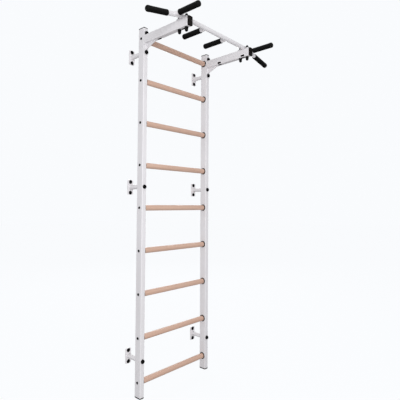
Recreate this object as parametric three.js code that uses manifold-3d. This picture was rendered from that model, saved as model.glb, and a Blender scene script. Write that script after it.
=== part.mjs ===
// Steel wall bars with round beech rungs and a bolted pull-up unit.
// Millimetres, +Z up, the front towards -Y. The origin is on the wall plane, at floor level, mid-width.
import * as THREE from 'three';
import { mergeVertices } from 'three/addons/utils/BufferGeometryUtils.js';
import Module from 'manifold-3d';

// Rungs
const RUNG_COUNT = 9;
const RUNG_SPACING = 250;
const BOTTOM_RUNG_HEIGHT = 88;
const RUNG_DIAMETER = 33;
const RUNG_FREE_LENGTH = 526;
const RUNG_HOLE_CLEARANCE = 0.4;
const RUNG_END_GAP = 0.5;
const RUNG_SCREW_HOLE = 5;

// Uprights
const UPRIGHT_WIDTH = 30;
const UPRIGHT_DEPTH = 50;
const UPRIGHT_WALL = 2;
const UPRIGHT_CORNER = 5;
const UPRIGHT_ABOVE_BOLT = 36;

// Plastic caps of the tube ends
const CAP_LID = 4;
const CAP_EDGE_ROUNDING = 1.5;
const CAP_SKIRT_DEPTH = 16;
const CAP_SKIRT_WALL = 2;
const CAP_CLEARANCE = 0.3;

// Wall brackets
const WALL_GAP = 85;
const PLATE_WIDTH = 40;
const PLATE_THICKNESS = 5;
const PLATE_CORNER = 6;
const PLATE_BOLT_SPACING = 65;
const PLATE_EDGE_MARGIN = 11.5;
const STANDOFF_DIAMETER = 25;
const STANDOFF_WELD = 4;
const BRACKET_ABOVE_RUNG = 122.5;
const LOW_BRACKET_RUNG = 0;
const MID_BRACKET_RUNG = 4;

// Wall bolts
const WALL_BOLT_DIAMETER = 8;
const WALL_BOLT_HEAD_DIAMETER = 18;
const WALL_BOLT_HEAD_HEIGHT = 7;

// Front bolts through the uprights
const FRONT_BOLT_DIAMETER = 10;
const FRONT_BOLT_HEAD_DIAMETER = 24;
const FRONT_BOLT_HEAD_HEIGHT = 13;
const FRONT_BOLT_ENGAGEMENT = 25;
const WELD_NUT_WIDTH = 18;
const WELD_NUT_SIDES = 6;
const WELD_NUT_HEIGHT = 9;
const WELD_NUT_TO_RUNG = 3.5;
const BOLT_CLEARANCE = 0.4;
const BOLT_RIM_SHARE = 0.3;

// Arms of the pull-up unit
const ARM_WIDTH = 30;
const ARM_HEIGHT = 50;
const ARM_WALL = 2;
const ARM_CORNER = 4;
const ARM_REACH = 365;
const ARM_PLUG_LID = 3;
const ARM_PLUG_SKIRT_DEPTH = 13;
const FLANGE_THICKNESS = 4;
const FLANGE_EDGE_MARGIN = 15;
const ARM_TO_BOLT_HEAD = 1;
const GUSSET_DROP = 34;
const GUSSET_REACH = 91;
const GUSSET_TOE = 8;
const GUSSET_THICKNESS = 4;
const GUSSET_TO_BOLT_HEAD = 5;
const EYELET_LENGTH = 26;
const EYELET_WIDTH = 8;
const EYELET_EDGE_DISTANCE = 9;
const REAR_EYELET_REACH = 116;

// Pull-up bar
const BAR_DIAMETER = 25;
const BAR_WALL = 2.5;
const BAR_SETBACK = 57.5;
const BAR_STRAIGHT_HALF = 290;
const BAR_BEND_ANGLE = THREE.MathUtils.degToRad(12);
const BAR_BEND_RADIUS = 90;
const FRONT_HANDLE_SPACING = 676;
const REAR_HANDLE_SPACING = 190;
const FRONT_GRIP_START = 34;
const REAR_GRIP_START = 36;
const OUTER_GRIP_START = 88;
const SADDLE_THICKNESS = 4;
const SADDLE_EDGE_MARGIN = 14;
const SADDLE_CORNER = 6;
const SEAT_GAP = 0.3;

// Bar bolts and their cap nuts
const BAR_BOLT_SPACING = 52;
const BAR_BOLT_DIAMETER = 10;
const BAR_BOLT_HEAD_DIAMETER = 20;
const BAR_BOLT_HEAD_HEIGHT = 10;
const CAP_NUT_DIAMETER = 21.5;
const CAP_NUT_RIM = 5;
const CAP_NUT_STEP = 1;
const CAP_NUT_DOME_DIAMETER = 17.6;
const CAP_NUT_HEIGHT = 25;
const CAP_NUT_THREAD_DEPTH = 15;

// Grips
const GRIP_LENGTH = 142;
const GRIP_DIAMETER = 32;
const GRIP_END_WALL = 5;
const GRIP_END_ROUNDING = 9;
const GRIP_MOUTH_ROUNDING = 2.5;
const GRIP_CLEARANCE = 0.4;

// Facets
const RUNG_SIDES = 20;
const TUBE_SIDES = 16;
const BOLT_SIDES = 10;
const SMALL_HOLE_SIDES = 6;
const CORNER_STEPS = 4;
const BEND_STEPS = 3;
const DOME_STEPS = 2;
const SMALLEST_CORNER = 0.2;
const SLOT_END_FLAT = 0.1;
const OVERCUT = 1;

// Places that follow from the sizes above
const uprightX = RUNG_FREE_LENGTH / 2 + UPRIGHT_WIDTH / 2;
const uprightBackY = -WALL_GAP;
const uprightMidY = uprightBackY - UPRIGHT_DEPTH / 2;
const uprightFrontY = uprightBackY - UPRIGHT_DEPTH;
const rungHeight = (index) => BOTTOM_RUNG_HEIGHT + index * RUNG_SPACING;
const topRungHeight = rungHeight(RUNG_COUNT - 1);
const upperArmBoltZ = topRungHeight + RUNG_DIAMETER / 2 + WELD_NUT_TO_RUNG + WELD_NUT_WIDTH / 2;
const uprightTopZ = upperArmBoltZ + UPRIGHT_ABOVE_BOLT;
const armTopZ = upperArmBoltZ - FRONT_BOLT_HEAD_DIAMETER / 2 - ARM_TO_BOLT_HEAD;
const armMidZ = armTopZ - ARM_HEIGHT / 2;
const armBottomZ = armTopZ - ARM_HEIGHT;
const gussetLowZ = armBottomZ - GUSSET_DROP;
const topBracketZ = gussetLowZ - GUSSET_TO_BOLT_HEAD - FRONT_BOLT_HEAD_DIAMETER / 2;
const bracketHeights = {
  low: rungHeight(LOW_BRACKET_RUNG) + BRACKET_ABOVE_RUNG,
  mid: rungHeight(MID_BRACKET_RUNG) + BRACKET_ABOVE_RUNG,
  top: topBracketZ,
};
const flangeFrontY = uprightFrontY - FLANGE_THICKNESS;
const armEndY = uprightFrontY - ARM_REACH + ARM_PLUG_LID;
const barY = uprightFrontY - ARM_REACH + BAR_SETBACK;
const barZ = armTopZ + SEAT_GAP + BAR_DIAMETER / 2;
const saddleTopZ = armTopZ + SEAT_GAP + SADDLE_THICKNESS;
const barBoltYs = [barY - BAR_BOLT_SPACING / 2, barY + BAR_BOLT_SPACING / 2];
const sides = { left: -1, right: 1 };

const wasm = await Module();
wasm.setup();

// Solids for cutting and joining

function toSolid(geometry) {
  const bare = geometry.clone();
  bare.deleteAttribute('normal');
  bare.deleteAttribute('uv');
  const merged = mergeVertices(bare, 1e-4);
  const index = merged.getIndex().array;
  const triangles = [];
  for (let i = 0; i < index.length; i += 3) {
    const [a, b, c] = [index[i], index[i + 1], index[i + 2]];
    if (a !== b && b !== c && c !== a) triangles.push(a, b, c);
  }
  return new wasm.Manifold(new wasm.Mesh({
    numProp: 3,
    vertProperties: new Float32Array(merged.getAttribute('position').array),
    triVerts: new Uint32Array(triangles),
  }));
}

function toGeometry(solid) {
  const mesh = solid.getMesh();
  const geometry = new THREE.BufferGeometry();
  geometry.setAttribute('position', new THREE.BufferAttribute(mesh.vertProperties, 3));
  geometry.setIndex(new THREE.BufferAttribute(mesh.triVerts, 1));
  geometry.computeVertexNormals();
  return geometry;
}

function joinAndCut(added, removed) {
  let solid = toSolid(added[0]);
  for (const geometry of added.slice(1)) solid = solid.add(toSolid(geometry));
  for (const geometry of removed) solid = solid.subtract(toSolid(geometry));
  return toGeometry(solid);
}

// Basic forms

function roundedRectangle(width, height, corner) {
  const radius = Math.max(corner, SMALLEST_CORNER);
  const x = width / 2 - radius;
  const y = height / 2 - radius;
  const outline = new THREE.Shape();
  outline.absarc(x, y, radius, 0, Math.PI / 2);
  outline.absarc(-x, y, radius, Math.PI / 2, Math.PI);
  outline.absarc(-x, -y, radius, Math.PI, Math.PI * 1.5);
  outline.absarc(x, -y, radius, Math.PI * 1.5, Math.PI * 2);
  return outline;
}

// A slot with round ends; the short flats at its ends keep its outline simple.
function obround(width, height) {
  return roundedRectangle(width, height, (Math.min(width, height) - SLOT_END_FLAT) / 2);
}

// An arc of an outline is divided into twice its curveSegments.
const stepsOnArc = (steps) => steps / 2;

function extrude(outline, length) {
  const curveSegments = stepsOnArc(CORNER_STEPS);
  return new THREE.ExtrudeGeometry(outline, { depth: length, bevelEnabled: false, curveSegments });
}

// Turns a form modelled along +Z so that it runs along -Y, with its own +Y pointing up.
function facingFront(geometry) {
  return geometry.rotateX(Math.PI / 2);
}

// A form modelled along +Z runs along +X instead, with its own +X pointing along the depth.
function facingSide(geometry) {
  return geometry.rotateX(Math.PI / 2).rotateZ(Math.PI / 2);
}

function rodAlongX(diameter, fromX, toX, y, z, count) {
  const rod = new THREE.CylinderGeometry(diameter / 2, diameter / 2, toX - fromX, count);
  return rod.rotateZ(Math.PI / 2).translate((fromX + toX) / 2, y, z);
}

function rodAlongY(diameter, x, fromY, toY, z, count) {
  const rod = new THREE.CylinderGeometry(diameter / 2, diameter / 2, toY - fromY, count);
  return rod.translate(x, (fromY + toY) / 2, z);
}

function rodAlongZ(diameter, x, y, fromZ, toZ, count) {
  const rod = new THREE.CylinderGeometry(diameter / 2, diameter / 2, toZ - fromZ, count);
  return rod.rotateX(Math.PI / 2).translate(x, y, (fromZ + toZ) / 2);
}

function turned(profile, count) {
  return new THREE.LatheGeometry(profile.map(([radius, along]) => new THREE.Vector2(radius, along)), count);
}

// A quarter ellipse from the rim of a head to the middle of its crown.
function domeProfile(radius, rimAlong, crownAlong) {
  const points = [];
  for (let step = 0; step <= DOME_STEPS; step += 1) {
    const angle = (Math.PI / 2) * (step / DOME_STEPS);
    const across = step === DOME_STEPS ? 0 : radius * Math.cos(angle);
    points.push([across, rimAlong + (crownAlong - rimAlong) * Math.sin(angle)]);
  }
  return points;
}

// A domed bolt: the seat of its head is at zero, the crown along +Y and the shank along -Y.
function domedBolt(shankDiameter, shankLength, headDiameter, headHeight) {
  const rim = headHeight * BOLT_RIM_SHARE;
  return turned([
    [0, -shankLength],
    [shankDiameter / 2, -shankLength],
    [shankDiameter / 2, 0],
    [headDiameter / 2, 0],
    ...domeProfile(headDiameter / 2, rim, headHeight),
  ], BOLT_SIDES);
}

// A plug for a rectangular tube: its lid covers the tube end at zero and its skirt goes in along -Z.
function tubeCap(tube, lid, skirtDepth) {
  const innerWidth = tube.width - 2 * (tube.wall + CAP_CLEARANCE);
  const innerHeight = tube.height - 2 * (tube.wall + CAP_CLEARANCE);
  const innerCorner = tube.corner - tube.wall - CAP_CLEARANCE;
  const edge = Math.min(CAP_EDGE_ROUNDING, lid / 2);
  const crown = new THREE.ExtrudeGeometry(
    roundedRectangle(tube.width - 2 * edge, tube.height - 2 * edge, tube.corner - edge),
    {
      depth: lid - edge,
      bevelThickness: edge,
      bevelSize: edge,
      bevelSegments: 1,
      curveSegments: stepsOnArc(CORNER_STEPS),
    },
  );
  const belowLid = extrude(roundedRectangle(tube.width * 2, tube.height * 2, tube.corner), edge + OVERCUT);
  const lidSolid = joinAndCut([crown], [belowLid.translate(0, 0, -edge - OVERCUT)]);
  const skirt = extrude(roundedRectangle(innerWidth, innerHeight, innerCorner), skirtDepth + edge);
  const hollow = extrude(
    roundedRectangle(
      innerWidth - 2 * CAP_SKIRT_WALL,
      innerHeight - 2 * CAP_SKIRT_WALL,
      innerCorner - CAP_SKIRT_WALL,
    ),
    skirtDepth + OVERCUT,
  );
  return joinAndCut(
    [lidSolid, skirt.translate(0, 0, -skirtDepth)],
    [hollow.translate(0, 0, -skirtDepth - OVERCUT)],
  );
}

// Rungs

function rung(index) {
  const half = RUNG_FREE_LENGTH / 2 + UPRIGHT_WIDTH - UPRIGHT_WALL - RUNG_END_GAP;
  return rodAlongX(RUNG_DIAMETER, -half, half, uprightMidY, rungHeight(index), RUNG_SIDES);
}

// Uprights and their caps

const uprightTube = {
  width: UPRIGHT_WIDTH,
  height: UPRIGHT_DEPTH,
  wall: UPRIGHT_WALL,
  corner: UPRIGHT_CORNER,
};

function tubeOutline(tube) {
  const outline = roundedRectangle(tube.width, tube.height, tube.corner);
  outline.holes.push(roundedRectangle(
    tube.width - 2 * tube.wall,
    tube.height - 2 * tube.wall,
    tube.corner - tube.wall,
  ));
  return outline;
}

function upright(side) {
  const x = side * uprightX;
  const innerFaceX = x - side * (UPRIGHT_WIDTH / 2);
  const outerFaceX = x + side * (UPRIGHT_WIDTH / 2);
  const length = uprightTopZ - 2 * CAP_LID;
  const tube = extrude(tubeOutline(uprightTube), length).translate(x, uprightMidY, CAP_LID);
  const boltHole = FRONT_BOLT_DIAMETER + 2 * BOLT_CLEARANCE;
  const wallDepth = UPRIGHT_WALL + OVERCUT;
  const nutY = uprightFrontY + UPRIGHT_WALL;
  const nutEndY = nutY + WELD_NUT_HEIGHT;
  const nutStartY = nutY - UPRIGHT_WALL / 2;
  const weldNut = rodAlongY(WELD_NUT_WIDTH, x, nutStartY, nutEndY, upperArmBoltZ, WELD_NUT_SIDES);
  const cuts = [];
  for (let index = 0; index < RUNG_COUNT; index += 1) {
    const z = rungHeight(index);
    const rungHole = RUNG_DIAMETER + 2 * RUNG_HOLE_CLEARANCE;
    const innerCut = [innerFaceX - side * OVERCUT, innerFaceX + side * wallDepth].sort((a, b) => a - b);
    const outerCut = [outerFaceX - side * wallDepth, outerFaceX + side * OVERCUT].sort((a, b) => a - b);
    cuts.push(rodAlongX(rungHole, ...innerCut, uprightMidY, z, RUNG_SIDES));
    cuts.push(rodAlongX(RUNG_SCREW_HOLE, ...outerCut, uprightMidY, z, SMALL_HOLE_SIDES));
  }
  for (const z of Object.values(bracketHeights)) {
    cuts.push(rodAlongY(boltHole, x, uprightFrontY - OVERCUT, uprightBackY + OVERCUT, z, BOLT_SIDES));
  }
  cuts.push(rodAlongY(boltHole, x, uprightFrontY - OVERCUT, nutEndY + OVERCUT, upperArmBoltZ, BOLT_SIDES));
  return joinAndCut([tube, weldNut], cuts);
}

function topCap(side) {
  return tubeCap(uprightTube, CAP_LID, CAP_SKIRT_DEPTH)
    .translate(side * uprightX, uprightMidY, uprightTopZ - CAP_LID);
}

function footCap(side) {
  return tubeCap(uprightTube, CAP_LID, CAP_SKIRT_DEPTH)
    .rotateX(Math.PI)
    .translate(side * uprightX, uprightMidY, CAP_LID);
}

// Wall brackets

function wallBracket(side, z) {
  const x = side * uprightX;
  const plateHeight = PLATE_BOLT_SPACING + 2 * PLATE_EDGE_MARGIN;
  const plateOutline = roundedRectangle(PLATE_WIDTH, plateHeight, PLATE_CORNER);
  const plate = facingFront(extrude(plateOutline, PLATE_THICKNESS));
  const radius = STANDOFF_DIAMETER / 2;
  const standoff = turned([
    [0, uprightBackY],
    [radius, uprightBackY],
    [radius, -PLATE_THICKNESS - STANDOFF_WELD],
    [radius + STANDOFF_WELD, -PLATE_THICKNESS],
    [radius + STANDOFF_WELD, -PLATE_THICKNESS / 2],
    [0, -PLATE_THICKNESS / 2],
  ], TUBE_SIDES);
  const tappedHole = FRONT_BOLT_DIAMETER + 2 * BOLT_CLEARANCE;
  const tappedEndY = uprightBackY + FRONT_BOLT_ENGAGEMENT + OVERCUT;
  const cuts = [rodAlongY(tappedHole, x, uprightBackY - OVERCUT, tappedEndY, z, BOLT_SIDES)];
  for (const level of [-1, 1]) {
    const hole = WALL_BOLT_DIAMETER + 2 * BOLT_CLEARANCE;
    const holeZ = z + level * PLATE_BOLT_SPACING / 2;
    cuts.push(rodAlongY(hole, x, -PLATE_THICKNESS - OVERCUT, OVERCUT, holeZ, BOLT_SIDES));
  }
  return joinAndCut([plate.translate(x, 0, z), standoff.translate(x, 0, z)], cuts);
}

function wallBolt(side, z, level) {
  const shank = PLATE_THICKNESS - SEAT_GAP;
  return domedBolt(WALL_BOLT_DIAMETER, shank, WALL_BOLT_HEAD_DIAMETER, WALL_BOLT_HEAD_HEIGHT)
    .rotateZ(Math.PI)
    .translate(side * uprightX, -PLATE_THICKNESS, z + level * PLATE_BOLT_SPACING / 2);
}

// Front bolts, each with its head on the upright or on the arm flange

function frontBolt(side, z, headSeatY, endY) {
  return domedBolt(FRONT_BOLT_DIAMETER, endY - headSeatY, FRONT_BOLT_HEAD_DIAMETER, FRONT_BOLT_HEAD_HEIGHT)
    .rotateZ(Math.PI)
    .translate(side * uprightX, headSeatY, z);
}

// Arms and their end plugs

const armTube = { width: ARM_WIDTH, height: ARM_HEIGHT, wall: ARM_WALL, corner: ARM_CORNER };

function gusset() {
  const outline = new THREE.Shape();
  const backY = flangeFrontY + FLANGE_THICKNESS / 2;
  const rootZ = armBottomZ + ARM_WALL / 2;
  outline.moveTo(backY, rootZ);
  outline.lineTo(flangeFrontY - GUSSET_REACH, rootZ);
  outline.lineTo(flangeFrontY - GUSSET_REACH, armBottomZ - ARM_WALL);
  outline.lineTo(flangeFrontY - GUSSET_TOE, gussetLowZ);
  outline.lineTo(backY, gussetLowZ);
  outline.closePath();
  return facingSide(extrude(outline, GUSSET_THICKNESS)).translate(-GUSSET_THICKNESS / 2, 0, 0);
}

function arm(side) {
  const x = side * uprightX;
  const innerFaceX = x - side * (ARM_WIDTH / 2);
  const tubeStartY = flangeFrontY + FLANGE_THICKNESS / 2;
  const tube = facingFront(extrude(tubeOutline(armTube), tubeStartY - armEndY))
    .translate(x, tubeStartY, armMidZ);
  const flangeTopZ = upperArmBoltZ + FLANGE_EDGE_MARGIN;
  const flangeLowZ = topBracketZ - FLANGE_EDGE_MARGIN;
  const flangeOutline = roundedRectangle(UPRIGHT_WIDTH, flangeTopZ - flangeLowZ, UPRIGHT_CORNER);
  const flange = facingFront(extrude(flangeOutline, FLANGE_THICKNESS))
    .translate(x, uprightFrontY, (flangeTopZ + flangeLowZ) / 2);
  const cuts = [];
  for (const z of [upperArmBoltZ, topBracketZ]) {
    const hole = FRONT_BOLT_DIAMETER + 2 * BOLT_CLEARANCE;
    cuts.push(rodAlongY(hole, x, flangeFrontY - OVERCUT, uprightFrontY + OVERCUT, z, BOLT_SIDES));
  }
  for (const y of barBoltYs) {
    const hole = BAR_BOLT_DIAMETER + 2 * BOLT_CLEARANCE;
    cuts.push(rodAlongZ(hole, x, y, armBottomZ - OVERCUT, armTopZ + OVERCUT, BOLT_SIDES));
  }
  const slotDepth = ARM_WALL + OVERCUT;
  for (const y of [uprightFrontY - REAR_EYELET_REACH, barY]) {
    const sideSlot = facingSide(extrude(obround(EYELET_LENGTH, EYELET_WIDTH), slotDepth));
    const sideSlotX = side > 0 ? innerFaceX - OVERCUT : innerFaceX - ARM_WALL;
    cuts.push(sideSlot.translate(sideSlotX, y, armBottomZ + EYELET_EDGE_DISTANCE));
    const floorSlot = extrude(obround(EYELET_WIDTH, EYELET_LENGTH), slotDepth);
    cuts.push(floorSlot.translate(innerFaceX + side * EYELET_EDGE_DISTANCE, y, armBottomZ - OVERCUT));
  }
  return joinAndCut([tube, flange, gusset().translate(x, 0, 0)], cuts);
}

function armPlug(side) {
  return facingFront(tubeCap(armTube, ARM_PLUG_LID, ARM_PLUG_SKIRT_DEPTH))
    .translate(side * uprightX, armEndY, armMidZ);
}

// Pull-up bar

// Centre line of one half of the bar: straight, then bent down, then straight to the end.
function barHalfLine(endLength) {
  const points = [new THREE.Vector3(0, barY, barZ)];
  for (let step = 0; step <= BEND_STEPS; step += 1) {
    const angle = BAR_BEND_ANGLE * (step / BEND_STEPS);
    points.push(new THREE.Vector3(
      BAR_STRAIGHT_HALF + BAR_BEND_RADIUS * Math.sin(angle),
      barY,
      barZ - BAR_BEND_RADIUS * (1 - Math.cos(angle)),
    ));
  }
  const last = points[points.length - 1];
  points.push(last.clone().addScaledVector(barEndDirection(1), endLength));
  return points;
}

function barEndDirection(side) {
  return new THREE.Vector3(side * Math.cos(BAR_BEND_ANGLE), 0, -Math.sin(BAR_BEND_ANGLE));
}

function barBendEnd(side) {
  return new THREE.Vector3(
    side * (BAR_STRAIGHT_HALF + BAR_BEND_RADIUS * Math.sin(BAR_BEND_ANGLE)),
    barY,
    barZ - BAR_BEND_RADIUS * (1 - Math.cos(BAR_BEND_ANGLE)),
  );
}

// Height of the bar's centre line on its sloping end.
function barEndHeight(x) {
  const bendEnd = barBendEnd(1);
  return bendEnd.z - (Math.abs(x) - bendEnd.x) * Math.tan(BAR_BEND_ANGLE);
}

// A line through stations, which puts the rings of a swept tube only at those stations.
class StationLine extends THREE.Curve {
  constructor(stations) {
    super();
    this.stations = stations;
  }

  getPoint(t, target = new THREE.Vector3()) {
    const place = t * (this.stations.length - 1);
    const index = Math.min(Math.floor(place), this.stations.length - 2);
    return target.lerpVectors(this.stations[index], this.stations[index + 1], place - index);
  }

  getPointAt(u, target) {
    return this.getPoint(u, target);
  }

  getTangentAt(u, target = new THREE.Vector3()) {
    const index = Math.round(u * (this.stations.length - 1));
    const before = this.stations[Math.max(index - 1, 0)];
    const after = this.stations[Math.min(index + 1, this.stations.length - 1)];
    return target.subVectors(after, before).normalize();
  }
}

function sweptBar(diameter, endLength) {
  const half = barHalfLine(endLength);
  const mirrored = half.slice(1).reverse().map((point) => new THREE.Vector3(-point.x, point.y, point.z));
  const line = new StationLine([...mirrored, ...half.slice(1)]);
  const section = new THREE.Shape().absarc(0, 0, diameter / 2, 0, Math.PI * 2);
  return new THREE.ExtrudeGeometry(section, {
    steps: line.stations.length - 1,
    curveSegments: stepsOnArc(TUBE_SIDES),
    bevelEnabled: false,
    extrudePath: line,
  });
}

// The handles: where each grip starts along its tube, which way it points and from which place on the bar.
const tubeInGrip = GRIP_LENGTH - GRIP_END_WALL - SEAT_GAP;
const handles = [];
for (const [name, side] of Object.entries(sides)) {
  const frontX = side * FRONT_HANDLE_SPACING / 2;
  const rearX = side * REAR_HANDLE_SPACING / 2;
  handles.push({
    name: `${name}_front_grip`,
    root: new THREE.Vector3(frontX, barY, barEndHeight(frontX)),
    direction: new THREE.Vector3(0, -1, 0),
    gripStart: FRONT_GRIP_START,
  });
  handles.push({
    name: `${name}_rear_grip`,
    root: new THREE.Vector3(rearX, barY, barZ),
    direction: new THREE.Vector3(0, 1, 0),
    gripStart: REAR_GRIP_START,
  });
}
const outerEnds = Object.entries(sides).map(([name, side]) => ({
  name: `${name}_outer_grip`,
  root: barBendEnd(side),
  direction: barEndDirection(side),
  gripStart: OUTER_GRIP_START,
}));

function handleTube(handle, diameter, extra) {
  const reach = handle.root.y + handle.direction.y * (handle.gripStart + tubeInGrip + extra);
  const ends = [handle.root.y, reach].sort((a, b) => a - b);
  return rodAlongY(diameter, handle.root.x, ...ends, handle.root.z, TUBE_SIDES);
}

function saddle(side) {
  const length = BAR_BOLT_SPACING + 2 * SADDLE_EDGE_MARGIN;
  return extrude(roundedRectangle(ARM_WIDTH, length, SADDLE_CORNER), SADDLE_THICKNESS)
    .translate(side * uprightX, barY, armTopZ + SEAT_GAP);
}

function pullUpBar() {
  const bore = BAR_DIAMETER - 2 * BAR_WALL;
  const barEnd = OUTER_GRIP_START + tubeInGrip;
  const added = [sweptBar(BAR_DIAMETER, barEnd)];
  const cuts = [];
  for (const side of Object.values(sides)) {
    added.push(saddle(side));
    for (const y of barBoltYs) {
      const hole = BAR_BOLT_DIAMETER + 2 * BOLT_CLEARANCE;
      cuts.push(rodAlongZ(hole, side * uprightX, y, armTopZ - OVERCUT, saddleTopZ + OVERCUT, BOLT_SIDES));
    }
  }
  for (const handle of handles) {
    added.push(handleTube(handle, BAR_DIAMETER, 0));
    cuts.push(handleTube(handle, bore, OVERCUT));
  }
  cuts.push(sweptBar(bore, barEnd + OVERCUT));
  return joinAndCut(added, cuts);
}

function barBolt(side, y) {
  const nutGrip = CAP_NUT_THREAD_DEPTH - SEAT_GAP;
  const shank = saddleTopZ - armBottomZ + nutGrip;
  return domedBolt(BAR_BOLT_DIAMETER, shank, BAR_BOLT_HEAD_DIAMETER, BAR_BOLT_HEAD_HEIGHT)
    .rotateX(Math.PI / 2)
    .translate(side * uprightX, y, saddleTopZ);
}

function barNut(side, y) {
  const bore = BAR_BOLT_DIAMETER / 2 + BOLT_CLEARANCE;
  const radius = CAP_NUT_DIAMETER / 2;
  const nut = turned([
    [0, CAP_NUT_THREAD_DEPTH],
    [bore, CAP_NUT_THREAD_DEPTH],
    [bore, 0],
    [radius, 0],
    [radius, CAP_NUT_RIM],
    ...domeProfile(CAP_NUT_DOME_DIAMETER / 2, CAP_NUT_RIM + CAP_NUT_STEP, CAP_NUT_HEIGHT),
  ], BOLT_SIDES);
  return nut.rotateX(-Math.PI / 2).translate(side * uprightX, y, armBottomZ);
}

// A closed sleeve with rounded ends: its mouth is at zero and its closed end along +Y.
function grip(handle) {
  const bore = BAR_DIAMETER / 2 + GRIP_CLEARANCE;
  const radius = GRIP_DIAMETER / 2;
  const shoulder = GRIP_END_ROUNDING * (1 - Math.SQRT1_2);
  const sleeve = turned([
    [0, GRIP_LENGTH - GRIP_END_WALL],
    [bore, GRIP_LENGTH - GRIP_END_WALL],
    [bore, 0],
    [radius - GRIP_MOUTH_ROUNDING, 0],
    [radius, GRIP_MOUTH_ROUNDING],
    [radius, GRIP_LENGTH - GRIP_END_ROUNDING],
    [radius - shoulder, GRIP_LENGTH - shoulder],
    [radius - GRIP_END_ROUNDING, GRIP_LENGTH],
    [0, GRIP_LENGTH],
  ], TUBE_SIDES);
  const turn = new THREE.Quaternion().setFromUnitVectors(new THREE.Vector3(0, 1, 0), handle.direction);
  const mouth = handle.root.clone().addScaledVector(handle.direction, handle.gripStart);
  return sleeve.applyQuaternion(turn).translate(mouth.x, mouth.y, mouth.z);
}

// Finishes

const finishes = {
  whitePaint: { color: 0xdedde1, roughness: 0.42, metalness: 0 },
  beech: { color: 0xd2b29c, roughness: 0.55, metalness: 0 },
  capPlastic: { color: 0x6f6a68, roughness: 0.6, metalness: 0 },
  plugPlastic: { color: 0x1c1716, roughness: 0.5, metalness: 0 },
  gripRubber: { color: 0x161616, roughness: 0.8, metalness: 0 },
  blackBolt: { color: 0x0e0e0f, roughness: 0.4, metalness: 0.2 },
};

const wallBars = new THREE.Group();

function addPiece(name, geometry, finish) {
  const mesh = new THREE.Mesh(geometry, new THREE.MeshStandardMaterial(finishes[finish]));
  mesh.name = name;
  wallBars.add(mesh);
}

for (let index = 0; index < RUNG_COUNT; index += 1) {
  addPiece(`rung_${index + 1}`, rung(index), 'beech');
}
for (const [name, side] of Object.entries(sides)) {
  addPiece(`${name}_upright`, upright(side), 'whitePaint');
  addPiece(`${name}_top_cap`, topCap(side), 'capPlastic');
  addPiece(`${name}_foot_cap`, footCap(side), 'capPlastic');
  for (const [level, z] of Object.entries(bracketHeights)) {
    const headSeatY = level === 'top' ? flangeFrontY : uprightFrontY;
    const boltEndY = uprightBackY + FRONT_BOLT_ENGAGEMENT;
    addPiece(`${name}_${level}_bracket`, wallBracket(side, z), 'whitePaint');
    addPiece(`${name}_${level}_bracket_bolt`, frontBolt(side, z, headSeatY, boltEndY), 'blackBolt');
    addPiece(`${name}_${level}_wall_bolt_upper`, wallBolt(side, z, 1), 'blackBolt');
    addPiece(`${name}_${level}_wall_bolt_lower`, wallBolt(side, z, -1), 'blackBolt');
  }
  const nutEndY = uprightFrontY + UPRIGHT_WALL + WELD_NUT_HEIGHT;
  addPiece(`${name}_arm_bolt`, frontBolt(side, upperArmBoltZ, flangeFrontY, nutEndY), 'blackBolt');
  addPiece(`${name}_arm`, arm(side), 'whitePaint');
  addPiece(`${name}_arm_plug`, armPlug(side), 'plugPlastic');
  for (const [place, y] of [['front', barBoltYs[0]], ['rear', barBoltYs[1]]]) {
    addPiece(`${name}_bar_bolt_${place}`, barBolt(side, y), 'blackBolt');
    addPiece(`${name}_bar_nut_${place}`, barNut(side, y), 'blackBolt');
  }
}
addPiece('pull_up_bar', pullUpBar(), 'whitePaint');
for (const handle of [...handles, ...outerEnds]) {
  addPiece(handle.name, grip(handle), 'gripRubber');
}

export default wallBars;
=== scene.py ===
"""Wall bars: a white steel ladder with beech rungs and a bolted pull-up unit.

Lengths are in metres. The wall plane is y = 0, the front looks towards -Y and +Z is up.
"""

from __future__ import annotations

import logging
import math
from dataclasses import dataclass
from enum import Enum
from typing import Callable, Iterable, Sequence

import bpy
from mathutils import Matrix, Vector

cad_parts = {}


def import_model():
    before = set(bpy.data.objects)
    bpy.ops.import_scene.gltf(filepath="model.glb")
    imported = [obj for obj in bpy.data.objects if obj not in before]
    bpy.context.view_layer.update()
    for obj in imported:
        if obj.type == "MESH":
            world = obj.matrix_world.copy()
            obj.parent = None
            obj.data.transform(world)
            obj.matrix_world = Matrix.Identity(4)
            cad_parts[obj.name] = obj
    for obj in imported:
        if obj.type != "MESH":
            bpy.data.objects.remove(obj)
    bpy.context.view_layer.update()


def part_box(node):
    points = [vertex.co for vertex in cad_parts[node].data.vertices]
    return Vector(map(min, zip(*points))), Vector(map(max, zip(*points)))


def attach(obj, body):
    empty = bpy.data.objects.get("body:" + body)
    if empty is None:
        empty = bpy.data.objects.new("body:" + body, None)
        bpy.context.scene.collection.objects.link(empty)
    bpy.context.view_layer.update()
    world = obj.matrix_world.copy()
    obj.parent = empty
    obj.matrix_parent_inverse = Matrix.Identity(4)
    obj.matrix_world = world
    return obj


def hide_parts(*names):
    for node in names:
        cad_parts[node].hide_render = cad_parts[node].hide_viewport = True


LOG = logging.getLogger("wall_bars")
BODY = "root"
MM = 0.001
SMOOTH_ANGLE = math.radians(32.0)
SHARP_ANGLE = math.radians(40.0)
QUARTER = math.pi / 2.0
PARALLEL = 0.99  # least cosine between directions that count as the same
TOUCHING = 1e-6  # points closer than this are one point
GAP = 0.05 * MM  # air between skins that lie on each other
PLAY = 0.3 * MM  # air between a plug and the tube that holds it
EDGE = 0.6 * MM  # broken edge of a cut plate
PAST = 1.0 * MM  # how far a cutter or a welded part runs past a face
SCREW_SIDES = 24
HOLE_SIDES = 32
ROUND_SIDES = 48
FINE_SIDES = 64
RUNG_SIDES = 72
FINE_STEPS = 8
PLUG_STEPS = 5
Triple = tuple[float, float, float]
Span = tuple[float, float]
Profile = Sequence[Span]


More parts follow.
